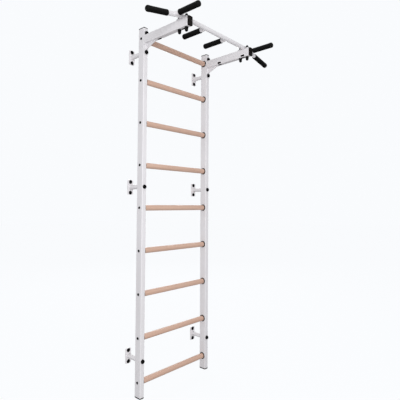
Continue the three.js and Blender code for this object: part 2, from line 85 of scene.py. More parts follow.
class Side(Enum):
    """The two sides of the ladder, seen from the front."""

    LEFT = -1
    RIGHT = 1

    @property
    def word(self) -> str:
        """The side's name as the nodes spell it."""
        return self.name.lower()


class Axis(Enum):
    """The axes of the frame."""

    X = (1.0, 0.0, 0.0)
    Y = (0.0, 1.0, 0.0)
    Z = (0.0, 0.0, 1.0)

    @property
    def vector(self) -> Vector:
        """The axis as a vector."""
        return Vector(self.value)


class Level(Enum):
    """The heights at which the ladder is held to the wall."""

    LOW = "low"
    MID = "mid"
    TOP = "top"


class End(Enum):
    """The two ends of an upright, and which way each of them looks."""

    TOP = 1
    FOOT = -1

    @property
    def word(self) -> str:
        """The end's name as the nodes spell it."""
        return self.name.lower()


class PlateBolt(Enum):
    """The two bolts of a wall plate."""

    UPPER = "upper"
    LOWER = "lower"


class SaddleBolt(Enum):
    """The two bolts of a saddle."""

    FRONT = "front"
    REAR = "rear"


# Modelling steps


class Bench:
    """Modelling steps that all sub-assemblies share."""

    WELD_RIPPLE = 0.13
    WELD_RIPPLE_POINTS = 4

    @staticmethod
    def rest() -> None:
        """Leave edit mode and deselect everything."""
        active = bpy.context.view_layer.objects.active
        if active is not None and active.mode != "OBJECT":
            bpy.ops.object.mode_set(mode="OBJECT")
        bpy.ops.object.select_all(action="DESELECT")

    @staticmethod
    def only(obj: bpy.types.Object) -> None:
        """Make one object the only selected one, and the active one."""
        Bench.rest()
        obj.select_set(True)
        bpy.context.view_layer.objects.active = obj

    @staticmethod
    def named(name: str) -> bpy.types.Object:
        """Name the object that was just added, and return it."""
        obj = bpy.context.object
        obj.name = name
        obj.data.name = name
        return obj

    @staticmethod
    def edit(obj: bpy.types.Object, mode: str = "VERT") -> None:
        """Open one object in edit mode with nothing selected.

        Args:
            obj: The object to open.
            mode: VERT, EDGE or FACE.
        """
        Bench.only(obj)
        bpy.ops.object.mode_set(mode="EDIT")
        bpy.ops.mesh.select_mode(type=mode)
        bpy.ops.mesh.select_all(action="DESELECT")

    @staticmethod
    def pick_edges(obj: bpy.types.Object, test: Callable[[Vector, Vector], bool]) -> None:
        """Open an object in edit mode with some edges selected.

        Args:
            obj: The object to open.
            test: Says of an edge's two ends whether it is selected.
        """
        Bench.edit(obj, "EDGE")
        bpy.ops.object.mode_set(mode="OBJECT")
        points = obj.data.vertices
        for edge in obj.data.edges:
            first, second = (points[index].co for index in edge.vertices)
            edge.select = test(first, second)
        bpy.ops.object.mode_set(mode="EDIT")

    @staticmethod
    def pick_faces(obj: bpy.types.Object, test: Callable[[Vector, Vector], bool]) -> None:
        """Open an object in edit mode with some faces selected.

        Args:
            obj: The object to open.
            test: Says of a face's centre and normal whether it is selected.
        """
        Bench.edit(obj, "FACE")
        bpy.ops.object.mode_set(mode="OBJECT")
        for face in obj.data.polygons:
            face.select = test(face.center, face.normal)
        bpy.ops.object.mode_set(mode="EDIT")

    @staticmethod
    def done() -> None:
        """Leave edit mode."""
        bpy.ops.object.mode_set(mode="OBJECT")

    @staticmethod
    def tidy_mesh(obj: bpy.types.Object) -> None:
        """Merge doubles and point all faces outwards."""
        Bench.edit(obj)
        bpy.ops.mesh.select_all(action="SELECT")
        bpy.ops.mesh.remove_doubles(threshold=TOUCHING)
        bpy.ops.mesh.normals_make_consistent(inside=False)
        Bench.done()

    @staticmethod
    def apply(obj: bpy.types.Object, kind: str, **settings: object) -> None:
        """Add a modifier and apply it at once.

        Args:
            obj: The object that is modified.
            kind: The modifier's type.
            **settings: The modifier's properties.
        """
        Bench.only(obj)
        modifier = obj.modifiers.new(kind.lower(), kind)
        for key, value in settings.items():
            setattr(modifier, key, value)
        bpy.ops.object.modifier_apply(modifier=modifier.name)

    @staticmethod
    def ease(obj: bpy.types.Object, width: float, segments: int = 2) -> None:
        """Break the sharp edges of a piece with a small round.

        Args:
            obj: The piece.
            width: Width of the round.
            segments: Steps across the round.
        """
        Bench.apply(
            obj,
            "BEVEL",
            width=width,
            segments=segments,
            limit_method="ANGLE",
            angle_limit=SHARP_ANGLE,
        )

    @staticmethod
    def block(
        name: str, low: Vector, high: Vector, corner: float, along: Axis, steps: int = 6
    ) -> bpy.types.Object:
        """A bar whose four long edges are round.

        Args:
            name: Name of the piece.
            low: Its lowest corner.
            high: Its highest corner.
            corner: Radius of the four edges.
            along: The axis they run along.
            steps: Steps round each edge.

        Returns:
            The bar.
        """
        Bench.rest()
        centre = (low + high) / 2.0
        bpy.ops.mesh.primitive_cube_add(size=1.0, location=centre, scale=high - low)
        obj = Bench.named(name)
        bpy.ops.object.transform_apply(location=True, rotation=True, scale=True)
        axis = along.vector
        Bench.pick_edges(obj, lambda a, b: abs((b - a).normalized().dot(axis)) > PARALLEL)
        bpy.ops.mesh.bevel(offset=corner, segments=steps, affect="EDGES")
        Bench.done()
        return obj

    @staticmethod
    def hollow(obj: bpy.types.Object, wall: float, along: Axis) -> None:
        """Make a tube of a bar: its two ends are opened and it gets a wall.

        Args:
            obj: The bar.
            wall: Thickness of the wall.
            along: The axis that the bar runs along.
        """
        axis = along.vector
        Bench.pick_faces(obj, lambda centre, normal: abs(normal.dot(axis)) > PARALLEL)
        bpy.ops.mesh.delete(type="FACE")
        Bench.done()
        Bench.apply(obj, "SOLIDIFY", thickness=wall, offset=-1.0, use_even_offset=True)

    @staticmethod
    def rod(
        name: str, diameter: float, start: Vector, end: Vector, sides: int
    ) -> bpy.types.Object:
        """A round rod between two points.

        Args:
            name: Name of the rod.
            diameter: Its diameter.
            start: Middle of one end.
            end: Middle of the other end.
            sides: Facets round it.

        Returns:
            The rod.
        """
        Bench.rest()
        bpy.ops.mesh.primitive_cylinder_add(
            vertices=sides, radius=diameter / 2.0, depth=(end - start).length
        )
        obj = Bench.named(name)
        Bench.place(obj, (start + end) / 2.0, end - start)
        return obj

    @staticmethod
    def point(name: str) -> bpy.types.Object:
        """A mesh of one point at the origin, open in edit mode with the point selected.

        Args:
            name: Name of the mesh.

        Returns:
            The object.
        """
        Bench.rest()
        bpy.ops.mesh.primitive_plane_add(size=MM)
        obj = Bench.named(name)
        bpy.ops.object.mode_set(mode="EDIT")
        bpy.ops.mesh.select_mode(type="VERT")
        bpy.ops.mesh.select_all(action="SELECT")
        bpy.ops.mesh.merge(type="CENTER")
        return obj

    @staticmethod
    def turned(name: str, profile: Profile, sides: int) -> bpy.types.Object:
        """A form turned about +Z from a profile of radius and height.

        Args:
            name: Name of the form.
            profile: Pairs of radius and height, from the foot to the crown.
            sides: Facets round it.

        Returns:
            The form, at the origin.
        """
        obj = Bench.point(name)
        radius, height = profile[0]
        bpy.ops.transform.translate(value=(radius, 0.0, height))
        for next_radius, next_height in profile[1:]:
            step = (next_radius - radius, 0.0, next_height - height)
            bpy.ops.mesh.extrude_region_move(TRANSFORM_OT_translate={"value": step})
            radius, height = next_radius, next_height
        bpy.ops.mesh.select_all(action="SELECT")
        bpy.ops.mesh.spin(steps=sides, angle=math.tau, center=(0, 0, 0), axis=(0, 0, 1))
        Bench.done()
        Bench.tidy_mesh(obj)
        return obj

    @staticmethod
    def plate(name: str, outline: Sequence[Vector], thickness: Vector) -> bpy.types.Object:
        """A flat plate cut to an outline.

        Args:
            name: Name of the plate.
            outline: Its corners, in order.
            thickness: Direction and length from one face to the other.

        Returns:
            The plate.
        """
        obj = Bench.point(name)
        bpy.ops.transform.translate(value=outline[0])
        for before, after in zip(outline, outline[1:]):
            bpy.ops.mesh.extrude_region_move(TRANSFORM_OT_translate={"value": after - before})
        bpy.ops.mesh.select_all(action="SELECT")
        bpy.ops.mesh.edge_face_add()
        bpy.ops.mesh.extrude_region_move(TRANSFORM_OT_translate={"value": thickness})
        Bench.done()
        Bench.tidy_mesh(obj)
        return obj

    @staticmethod
    def bead(
        name: str, path: Sequence[Vector], radius: float, closed: bool = False
    ) -> bpy.types.Object:
        """A weld bead along a path, with the small steps that a weld leaves.

        Args:
            name: Name of the bead.
            path: Points about a millimetre apart.
            radius: Mean radius of the bead.
            closed: Whether the path ends where it starts.

        Returns:
            The bead as a mesh.
        """
        Bench.rest()
        curve = bpy.data.curves.new(name, "CURVE")
        curve.dimensions = "3D"
        curve.bevel_depth = radius
        curve.bevel_resolution = 2
        curve.use_fill_caps = not closed
        spline = curve.splines.new("POLY")
        spline.points.add(len(path) - 1)
        spline.use_cyclic_u = closed
        for index, place in enumerate(path):
            spline.points[index].co = (*place, 1.0)
            ripple = math.sin(index * math.tau / Bench.WELD_RIPPLE_POINTS)
            spline.points[index].radius = 1.0 + Bench.WELD_RIPPLE * ripple
        obj = bpy.data.objects.new(name, curve)
        bpy.context.scene.collection.objects.link(obj)
        Bench.only(obj)
        bpy.ops.object.convert(target="MESH")
        obj = Bench.named(name)
        Bench.tidy_mesh(obj)
        return obj

    @staticmethod
    def line(start: Vector, end: Vector, pitch: float = MM) -> list[Vector]:
        """Points along a straight line, about one pitch apart."""
        count = max(2, round((end - start).length / pitch) + 1)
        return [start.lerp(end, index / (count - 1)) for index in range(count)]

    @staticmethod
    def place(obj: bpy.types.Object, spot: Vector, direction: Vector) -> None:
        """Move a form made along +Z to a spot and point it in a direction.

        Args:
            obj: The form.
            spot: Where its origin goes.
            direction: Where its +Z goes.
        """
        turn = Axis.Z.vector.rotation_difference(direction.normalized())
        Bench.only(obj)
        obj.matrix_world = Matrix.Translation(spot) @ turn.to_matrix().to_4x4()
        bpy.ops.object.transform_apply(location=True, rotation=True, scale=True)

    @staticmethod
    def copy(
        model: bpy.types.Object, name: str, spot: Vector, direction: Vector
    ) -> bpy.types.Object:
        """A copy of a model with a mesh of its own, put in place.

        Args:
            model: The form to copy, made along +Z.
            name: Name of the copy.
            spot: Where its origin goes.
            direction: Where its +Z goes.

        Returns:
            The copy.
        """
        Bench.only(model)
        bpy.ops.object.duplicate(linked=False)
        obj = Bench.named(name)
        Bench.place(obj, spot, direction)
        return obj

    @staticmethod
    def join(name: str, parts: Sequence[bpy.types.Object]) -> bpy.types.Object:
        """Join several meshes to one piece.

        Args:
            name: Name of the piece.
            parts: The meshes.

        Returns:
            The piece.
        """
        Bench.only(parts[0])
        for part in parts:
            part.select_set(True)
        bpy.ops.object.join()
        return Bench.named(name)

    @staticmethod
    def cut(obj: bpy.types.Object, cutters: Sequence[bpy.types.Object]) -> None:
        """Cut the forms of several meshes out of a piece.

        Args:
            obj: The piece.
            cutters: The meshes, which are used up.
        """
        cutter = Bench.join("cutter", cutters)
        Bench.apply(obj, "BOOLEAN", operation="DIFFERENCE", object=cutter, solver="EXACT")
        Bench.discard(cutter)

    @staticmethod
    def discard(obj: bpy.types.Object) -> None:
        """Remove an object and its mesh."""
        mesh = obj.data
        bpy.data.objects.remove(obj)
        bpy.data.meshes.remove(mesh)

    @staticmethod
    def smooth(obj: bpy.types.Object, flat_faces: bool) -> None:
        """Shade the round faces of a piece smoothly.

        Args:
            obj: The piece.
            flat_faces: Whether it has flat faces next to its rounds, which stay flat.
        """
        Bench.only(obj)
        bpy.ops.object.shade_smooth_by_angle(angle=SMOOTH_ANGLE)
        if flat_faces:
            Bench.apply(obj, "WEIGHTED_NORMAL", keep_sharp=True, weight=100)


def dome(radius: float, rim: float, crown: float, steps: int) -> list[Span]:
    """A quarter ellipse from a head's rim to the middle of its crown.

    Args:
        radius: Radius at the rim.
        rim: Height of the rim.
        crown: Height of the crown.
        steps: Steps along the curve.

    Returns:
        Pairs of radius and height.
    """
    points = []
    for step in range(steps + 1):
        angle = QUARTER * step / steps
        across = 0.0 if step == steps else radius * math.cos(angle)
        points.append((across, rim + (crown - rim) * math.sin(angle)))
    return points


def shoulder(radius: float, top: float, soft: float, steps: int) -> list[Span]:
    """A quarter round from a form's side to its top.

    Args:
        radius: Radius of the side.
        top: Height of the top.
        soft: Radius of the round.
        steps: Steps along the round.

    Returns:
        Pairs of radius and height.
    """
    points = []
    for step in range(steps + 1):
        angle = QUARTER * step / steps
        across, down = soft * (1.0 - math.cos(angle)), soft * (1.0 - math.sin(angle))
        points.append((radius - across, top - down))
    return points


# Finishes


class Board:
    """A material's nodes."""

    SHARE, FIRST, SECOND, MIXED = 0, 6, 7, 2  # the colour sockets of a Mix node

    def __init__(self, name: str) -> None:
        """Start a material with only its shader.

        Args:
            name: Name of the material.
        """
        self.material = bpy.data.materials.new(name)
        self.material.use_nodes = True
        self.tree = self.material.node_tree
        self.shader = self.tree.nodes["Principled BSDF"]

    def add(self, kind: str, **inputs: object) -> bpy.types.Node:
        """Add a node and set its inputs.

        Args:
            kind: The node's type, without the ShaderNode prefix.
            **inputs: Values by input name, with underscores for spaces.

        Returns:
            The node.
        """
        node = self.tree.nodes.new("ShaderNode" + kind)
        for key, value in inputs.items():
            node.inputs[key.replace("_", " ")].default_value = value
        return node

    def link(self, source: bpy.types.NodeSocket, target: bpy.types.NodeSocket) -> None:
        """Link an output to an input."""
        self.tree.links.new(source, target)

    def paint(self, tone: bpy.types.NodeSocket) -> None:
        """Give the surface its colour."""
        self.link(tone, self.shader.inputs["Base Color"])

    def gloss(self, roughness: bpy.types.NodeSocket) -> None:
        """Give the surface its roughness."""
        self.link(roughness, self.shader.inputs["Roughness"])

    def sheen(self, level: float) -> None:
        """Set how strongly the surface reflects."""
        self.shader.inputs["Specular IOR Level"].default_value = level

    def place(
        self, scale: Triple = (1.0, 1.0, 1.0), shift: Triple = (0.0, 0.0, 0.0)
    ) -> bpy.types.NodeSocket:
        """Object coordinates, scaled and shifted.

        Args:
            scale: Scale along each axis.
            shift: Shift along each axis, after scaling.

        Returns:
            The socket with the coordinates.
        """
        source = self.add("TexCoord")
        mapping = self.add("Mapping", Scale=scale, Location=shift)
        self.link(source.outputs["Object"], mapping.inputs["Vector"])
        return mapping.outputs["Vector"]

    def noise(
        self, place: bpy.types.NodeSocket, scale: float, detail: float = 2.0, rough: float = 0.5
    ) -> bpy.types.NodeSocket:
        """A noise pattern.

        Args:
            place: The coordinates.
            scale: Cells per metre.
            detail: Octaves.
            rough: How strong the fine octaves are.

        Returns:
            The socket with the pattern, from 0 to 1.
        """
        node = self.add("TexNoise", Scale=scale, Detail=detail, Roughness=rough)
        self.link(place, node.inputs["Vector"])
        return node.outputs["Fac"]

    def spread(
        self,
        value: bpy.types.NodeSocket,
        low: float,
        high: float,
        start: float = 0.3,
        end: float = 0.7,
    ) -> bpy.types.NodeSocket:
        """Map a pattern to a range.

        Args:
            value: The pattern.
            low: Result at the start.
            high: Result at the end.
            start: Where in the pattern the range starts.
            end: Where it ends.

        Returns:
            The socket with the mapped pattern.
        """
        node = self.add("MapRange", From_Min=start, From_Max=end, To_Min=low, To_Max=high)
        self.link(value, node.inputs["Value"])
        return node.outputs["Result"]

    def tint(
        self,
        share: bpy.types.NodeSocket,
        first: Triple | bpy.types.NodeSocket,
        second: Triple,
    ) -> bpy.types.NodeSocket:
        """Mix two colours.

        Args:
            share: Share of the second colour.
            first: The first colour, or a socket with it.
            second: The second colour.

        Returns:
            The socket with the mixed colour.
        """
        node = self.tree.nodes.new("ShaderNodeMix")
        node.data_type = "RGBA"
        self.link(share, node.inputs[self.SHARE])
        if isinstance(first, bpy.types.NodeSocket):
            self.link(first, node.inputs[self.FIRST])
        else:
            node.inputs[self.FIRST].default_value = (*first, 1.0)
        node.inputs[self.SECOND].default_value = (*second, 1.0)
        return node.outputs[self.MIXED]

    def bump(self, height: bpy.types.NodeSocket, strength: float, depth: float) -> None:
        """Give the surface a relief.

        Args:
            height: The pattern.
            strength: Strength of the relief.
            depth: Depth in metres.
        """
        node = self.add("Bump", Strength=strength, Distance=depth)
        self.link(height, node.inputs["Height"])
        self.link(node.outputs["Normal"], self.shader.inputs["Normal"])


@dataclass(frozen=True)
class Finish:
    """What all finishes have: a name and the record's slot."""

    name: str
    slot: str

    def material(self) -> bpy.types.Material:
        """The finish's material, made at its first use."""
        known = bpy.data.materials.get(self.name)
        return known if known is not None else self.make()

    def make(self) -> bpy.types.Material:
        """Make the material."""
        raise NotImplementedError


@dataclass(frozen=True)
class PowderCoat(Finish):
    """Satin powder coat: a faint orange peel and slight unevenness."""

    colour: Triple
    shade: Triple
    cloud_scale: float = 5.0
    gloss_scale: float = 60.0
    roughness: Span = (0.34, 0.46)
    peel_scale: float = 1100.0
    peel_strength: float = 0.03
    peel_depth: float = 0.2 * MM

    def make(self) -> bpy.types.Material:
        """Make the material."""
        board = Board(self.name)
        place = board.place()
        cloud = board.noise(place, self.cloud_scale, detail=3.0)
        board.paint(board.tint(board.spread(cloud, 0.0, 1.0), self.colour, self.shade))
        satin = board.noise(place, self.gloss_scale, detail=3.0)
        board.gloss(board.spread(satin, *self.roughness))
        board.bump(board.noise(place, self.peel_scale), self.peel_strength, self.peel_depth)
        return board.material


@dataclass(frozen=True)
class Beech(Finish):
    """Lacquered beech: long grain along X, darker bands and short flecks."""

    number: int
    light: Triple = (0.71, 0.485, 0.38)
    dark: Triple = (0.604, 0.388, 0.293)
    fleck: Triple = (0.40, 0.242, 0.174)
    next_rung: Triple = (0.37, 1.13, 0.71)
    band_scale: Triple = (0.9, 26.0, 26.0)
    grain_scale: Triple = (3.0, 150.0, 150.0)
    fleck_scale: Triple = (60.0, 700.0, 700.0)
    line_share: float = 0.55
    line_range: Span = (0.46, 0.72)
    fleck_share: float = 0.5
    fleck_range: Span = (0.62, 0.74)
    roughness: Span = (0.38, 0.52)
    relief: float = 0.12
    relief_depth: float = 0.3 * MM

    def make(self) -> bpy.types.Material:
        """Make the material."""
        board = Board(self.name)
        shift = tuple(step * self.number for step in self.next_rung)
        place = board.place(self.band_scale, shift)
        band = board.noise(place, scale=1.6, detail=4.0, rough=0.6)
        place = board.place(self.grain_scale, shift)
        grain = board.noise(place, scale=3.0, detail=5.0, rough=0.65)
        place = board.place(self.fleck_scale, shift)
        flecks = board.noise(place, scale=1.0, detail=1.0)
        colour = board.tint(board.spread(band, 0.0, 1.0), self.light, self.dark)
        lines = board.spread(grain, 0.0, self.line_share, *self.line_range)
        colour = board.tint(lines, colour, self.dark)
        specks = board.spread(flecks, 0.0, self.fleck_share, *self.fleck_range)
        board.paint(board.tint(specks, colour, self.fleck))
        board.gloss(board.spread(grain, *self.roughness))
        board.bump(grain, self.relief, self.relief_depth)
        return board.material


@dataclass(frozen=True)
class Moulded(Finish):
    """Moulded plastic with a fine grain."""

    colour: Triple
    worn: Triple
    roughness: Span
    sheen: float
    cloud_scale: float = 35.0
    gloss_scale: float = 120.0
    grain_scale: float = 1400.0
    grain_strength: float = 0.1
    grain_depth: float = 0.4 * MM

    def make(self) -> bpy.types.Material:
        """Make the material."""
        board = Board(self.name)
        place = board.place()
        cloud = board.noise(place, self.cloud_scale, detail=3.0)
        board.paint(board.tint(board.spread(cloud, 0.0, 1.0), self.colour, self.worn))
        board.gloss(board.spread(board.noise(place, self.gloss_scale), *self.roughness))
        grain = board.noise(place, self.grain_scale, detail=1.0)
        board.bump(grain, self.grain_strength, self.grain_depth)
        board.sheen(self.sheen)
        return board.material


@dataclass(frozen=True)
class GripRubber(Finish):
    """Black rubber with a pebbled surface."""

    colour: Triple
    raised: Triple
    sheen: float
    pebble_scale: float = 420.0
    pebble_range: Span = (0.05, 0.75)
    gloss_scale: float = 90.0
    roughness: Span = (0.55, 0.75)
    relief: float = 0.35
    relief_depth: float = 0.6 * MM

    def make(self) -> bpy.types.Material:
        """Make the material."""
        board = Board(self.name)
        place = board.place()
        cells = board.add("TexVoronoi", Scale=self.pebble_scale)
        board.link(place, cells.inputs["Vector"])
        pebble = board.spread(cells.outputs["Distance"], 1.0, 0.0, *self.pebble_range)
        board.paint(board.tint(pebble, self.colour, self.raised))
        board.gloss(board.spread(board.noise(place, self.gloss_scale), *self.roughness))
        board.bump(pebble, self.relief, self.relief_depth)
        board.sheen(self.sheen)
        return board.material


@dataclass(frozen=True)
class DarkSteel(Finish):
    """Dark steel: a black coat that is rubbed in places, or a near-black skin that paints the shade
    inside a tube.
    """

    colour: Triple
    rubbed: Triple
    sheen: float
    cloud_scale: float = 160.0
    rubbed_range: Span = (0.45, 0.75)
    roughness: Span = (0.4, 0.56)
    grain_scale: float = 1500.0
    grain_strength: float = 0.08
    grain_depth: float = 0.2 * MM

    def make(self) -> bpy.types.Material:
        """Make the material."""
        board = Board(self.name)
        place = board.place()
        cloud = board.noise(place, self.cloud_scale, detail=4.0)
        rubbing = board.spread(cloud, 0.0, 1.0, *self.rubbed_range)
        board.paint(board.tint(rubbing, self.colour, self.rubbed))
        board.gloss(board.spread(cloud, *self.roughness))
        grain = board.noise(place, self.grain_scale)
        board.bump(grain, self.grain_strength, self.grain_depth)
        board.sheen(self.sheen)
        return board.material


WHITE = PowderCoat(
    "white_powder_coat", "white_paint", colour=(0.805, 0.79, 0.812), shade=(0.772, 0.755, 0.775))
CAP_GREY = Moulded(
    "moulded_cap", "cap_plastic", colour=(0.016, 0.0135, 0.0125), worn=(0.024, 0.021, 0.0195),
    roughness=(0.45, 0.6), sheen=0.08)
COLLAR_BROWN = Moulded(
    "moulded_collar", "cap_plastic", colour=(0.016, 0.011, 0.0095), worn=(0.022, 0.016, 0.014),
    roughness=(0.5, 0.65), sheen=0.06)
PLUG_BLACK = Moulded(
    "moulded_plug", "plug_plastic", colour=(0.006, 0.0045, 0.004), worn=(0.009, 0.007, 0.0065),
    roughness=(0.4, 0.55), sheen=0.12)
RUBBER = GripRubber(
    "pebbled_rubber", "grip_rubber", colour=(0.004, 0.004, 0.004), raised=(0.009, 0.009, 0.009),
    sheen=0.12)
BLACK = DarkSteel(
    "blackened_steel", "black_bolt", colour=(0.003, 0.003, 0.0033), rubbed=(0.006, 0.006, 0.0065),
    sheen=0.08)
# Painted shade: a near-black skin inside the arms, seen through the eyelets, not the tube's own
# colour.
BORE_SHADE = DarkSteel(
    "bare_steel", "black_bolt", colour=(0.006, 0.006, 0.0065), rubbed=(0.012, 0.0115, 0.0115),
    sheen=0.06)


def hand_in(
    obj: bpy.types.Object, finish: Finish, nodes: Iterable[str] = (), flat_faces: bool = True
) -> None:
    """Smooth and dress a finished piece, and tell the frame about it.

    Args:
        obj: The piece.
        finish: Its finish.
        nodes: The solids that it stands for.
        flat_faces: Whether it has flat faces next to its rounds, which stay flat.
    """
    Bench.smooth(obj, flat_faces)
    obj.data.materials.clear()
    obj.data.materials.append(finish.material())
    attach(obj, BODY)
    for node in nodes:
        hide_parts(node)
    LOG.info("%s: %d faces, %s", obj.name, len(obj.data.polygons), finish.name)


def box_of(node: str) -> tuple[Vector, Vector]:
    """The lowest and highest corner of a solid, as vectors."""
    low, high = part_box(node)
    return Vector(low), Vector(high)


def middle_of(node: str) -> Vector:
    """The middle of a solid's box."""
    low, high = box_of(node)
    return (low + high) / 2.0


# Sub-assemblies


@dataclass
class Rungs:
    """The round beech rungs with their collars and end screws."""

    count: int = 9
    end_round: float = 2.0 * MM
    collar_diameter: float = 43.0 * MM
    collar_bore: float = 33.8 * MM
    collar_thickness: float = 4.0 * MM
    collar_round: float = 2.2 * MM
    collar_chamfer: float = 0.4 * MM
    screw_diameter: float = 15.0 * MM
    screw_height: float = 4.2 * MM
    screw_rim: float = 0.35
    recess_length: float = 1.1
    recess_width: float = 0.26
    recess_depth: float = 1.1

    def build(self) -> None:
        """Build all rungs, collars and screws."""
        collar = self.collar_model()
        screw = self.screw_model()
        for number in range(1, self.count + 1):
            self.rung(number)
            for side in Side:
                self.dress_end(side, number, collar, screw)
        Bench.discard(collar)
        Bench.discard(screw)

    def rung(self, number: int) -> None:
        """One rung with rounded end edges.

        Args:
            number: The rung's number, from the bottom.
        """
        node = f"rung_{number}"
        low, high = box_of(node)
        mid = (low + high) / 2.0
        start = Vector((low.x, mid.y, mid.z))
        end = Vector((high.x, mid.y, mid.z))
        obj = Bench.rod(f"beech_{node}", high.z - low.z, start, end, RUNG_SIDES)
        Bench.ease(obj, self.end_round, segments=4)
        hand_in(obj, Beech(f"beech_{number}", "beech", number), [node])

    def collar_model(self) -> bpy.types.Object:
        """The collar, which lies on a face at zero."""
        outer, bore, top = self.collar_diameter / 2.0, self.collar_bore / 2.0, self.collar_thickness
        profile = [(bore, 0.0), (outer, 0.0)]
        profile += shoulder(outer, top, self.collar_round, steps=4)
        chamfer = self.collar_chamfer
        profile += [(bore + chamfer, top), (bore, top - chamfer), (bore, 0.0)]
        return Bench.turned("collar", profile, FINE_SIDES)

    def screw_model(self) -> bpy.types.Object:
        """The screw's pan head with a cross recess, which lies on a face at zero."""
        radius, height = self.screw_diameter / 2.0, self.screw_height
        profile = [(0.0, 0.0), (radius, 0.0)]
        profile += dome(radius, height * self.screw_rim, height, steps=6)
        obj = Bench.turned("screw", profile, HOLE_SIDES)
        blades = []
        for turn in (0.0, QUARTER):
            Bench.rest()
            bpy.ops.mesh.primitive_cube_add(
                size=1.0, location=(0, 0, height), rotation=(0, 0, turn),
                scale=(radius * self.recess_length, radius * self.recess_width,
                       height * self.recess_depth))
            blades.append(Bench.named("blade"))
            bpy.ops.object.transform_apply(location=True, rotation=True, scale=True)
        for blade in blades:
            Bench.cut(obj, [blade])
        return obj

    def dress_end(
        self, side: Side, number: int, collar: bpy.types.Object, screw: bpy.types.Object
    ) -> None:
        """Put a collar and a screw at one end of a rung.

        Args:
            side: The end.
            number: The rung's number, from the bottom.
            collar: The collar to copy.
            screw: The screw to copy.
        """
        mid = middle_of(f"rung_{number}")
        inner, outer = Uprights.faces(side)
        inward = Vector((-side.value, 0.0, 0.0))
        spot = Vector((inner, mid.y, mid.z))
        ring = Bench.copy(collar, f"{side.word}_collar_{number}", spot, inward)
        hand_in(ring, COLLAR_BROWN)
        spot = Vector((outer, mid.y, mid.z))
        head = Bench.copy(screw, f"{side.word}_rung_screw_{number}", spot, -inward)
        hand_in(head, BLACK, flat_faces=False)


@dataclass
class Fastener:
    """A bolt with a domed head, a hexagon socket and, on some, a thin flange."""

    head_diameter: float
    head_height: float
    shank_diameter: float
    socket_width: float
    socket_depth: float
    rim_share: float
    flange: float = 0.0
    soft: float = 0.4 * MM

    def model(self, length: float) -> bpy.types.Object:
        """The bolt: the seat of its head is at zero and its shank runs down.

        Args:
            length: Length of the shank.

        Returns:
            The bolt, to copy.
        """
        radius, shank, soft = self.head_diameter / 2.0, self.shank_diameter / 2.0, self.soft
        rim = self.head_height * self.rim_share
        edge = radius + self.flange
        profile = [(0.0, -length), (shank - soft, -length), (shank, -length + soft), (shank, 0.0),
                   (edge - soft, 0.0), (edge, soft)]
        if self.flange > 0.0:
            profile += [(edge, rim - soft), (edge - soft, rim)]
        profile += dome(radius, rim, self.head_height, steps=10)
        obj = Bench.turned("bolt", profile, ROUND_SIDES)
        Bench.rest()
        bpy.ops.mesh.primitive_cylinder_add(
            vertices=6, radius=self.socket_width / math.sqrt(3.0), depth=2.0 * self.socket_depth,
            location=(0, 0, self.head_height))
        Bench.cut(obj, [Bench.named("socket")])
        return obj


WALL_BOLT = Fastener(
    head_diameter=18.0 * MM, head_height=7.0 * MM, shank_diameter=8.0 * MM,
    socket_width=5.0 * MM, socket_depth=3.2 * MM, rim_share=0.3, flange=2.5 * MM)
THROUGH_BOLT = Fastener(
    head_diameter=24.0 * MM, head_height=13.0 * MM, shank_diameter=10.0 * MM,
    socket_width=8.0 * MM, socket_depth=5.0 * MM, rim_share=0.22)


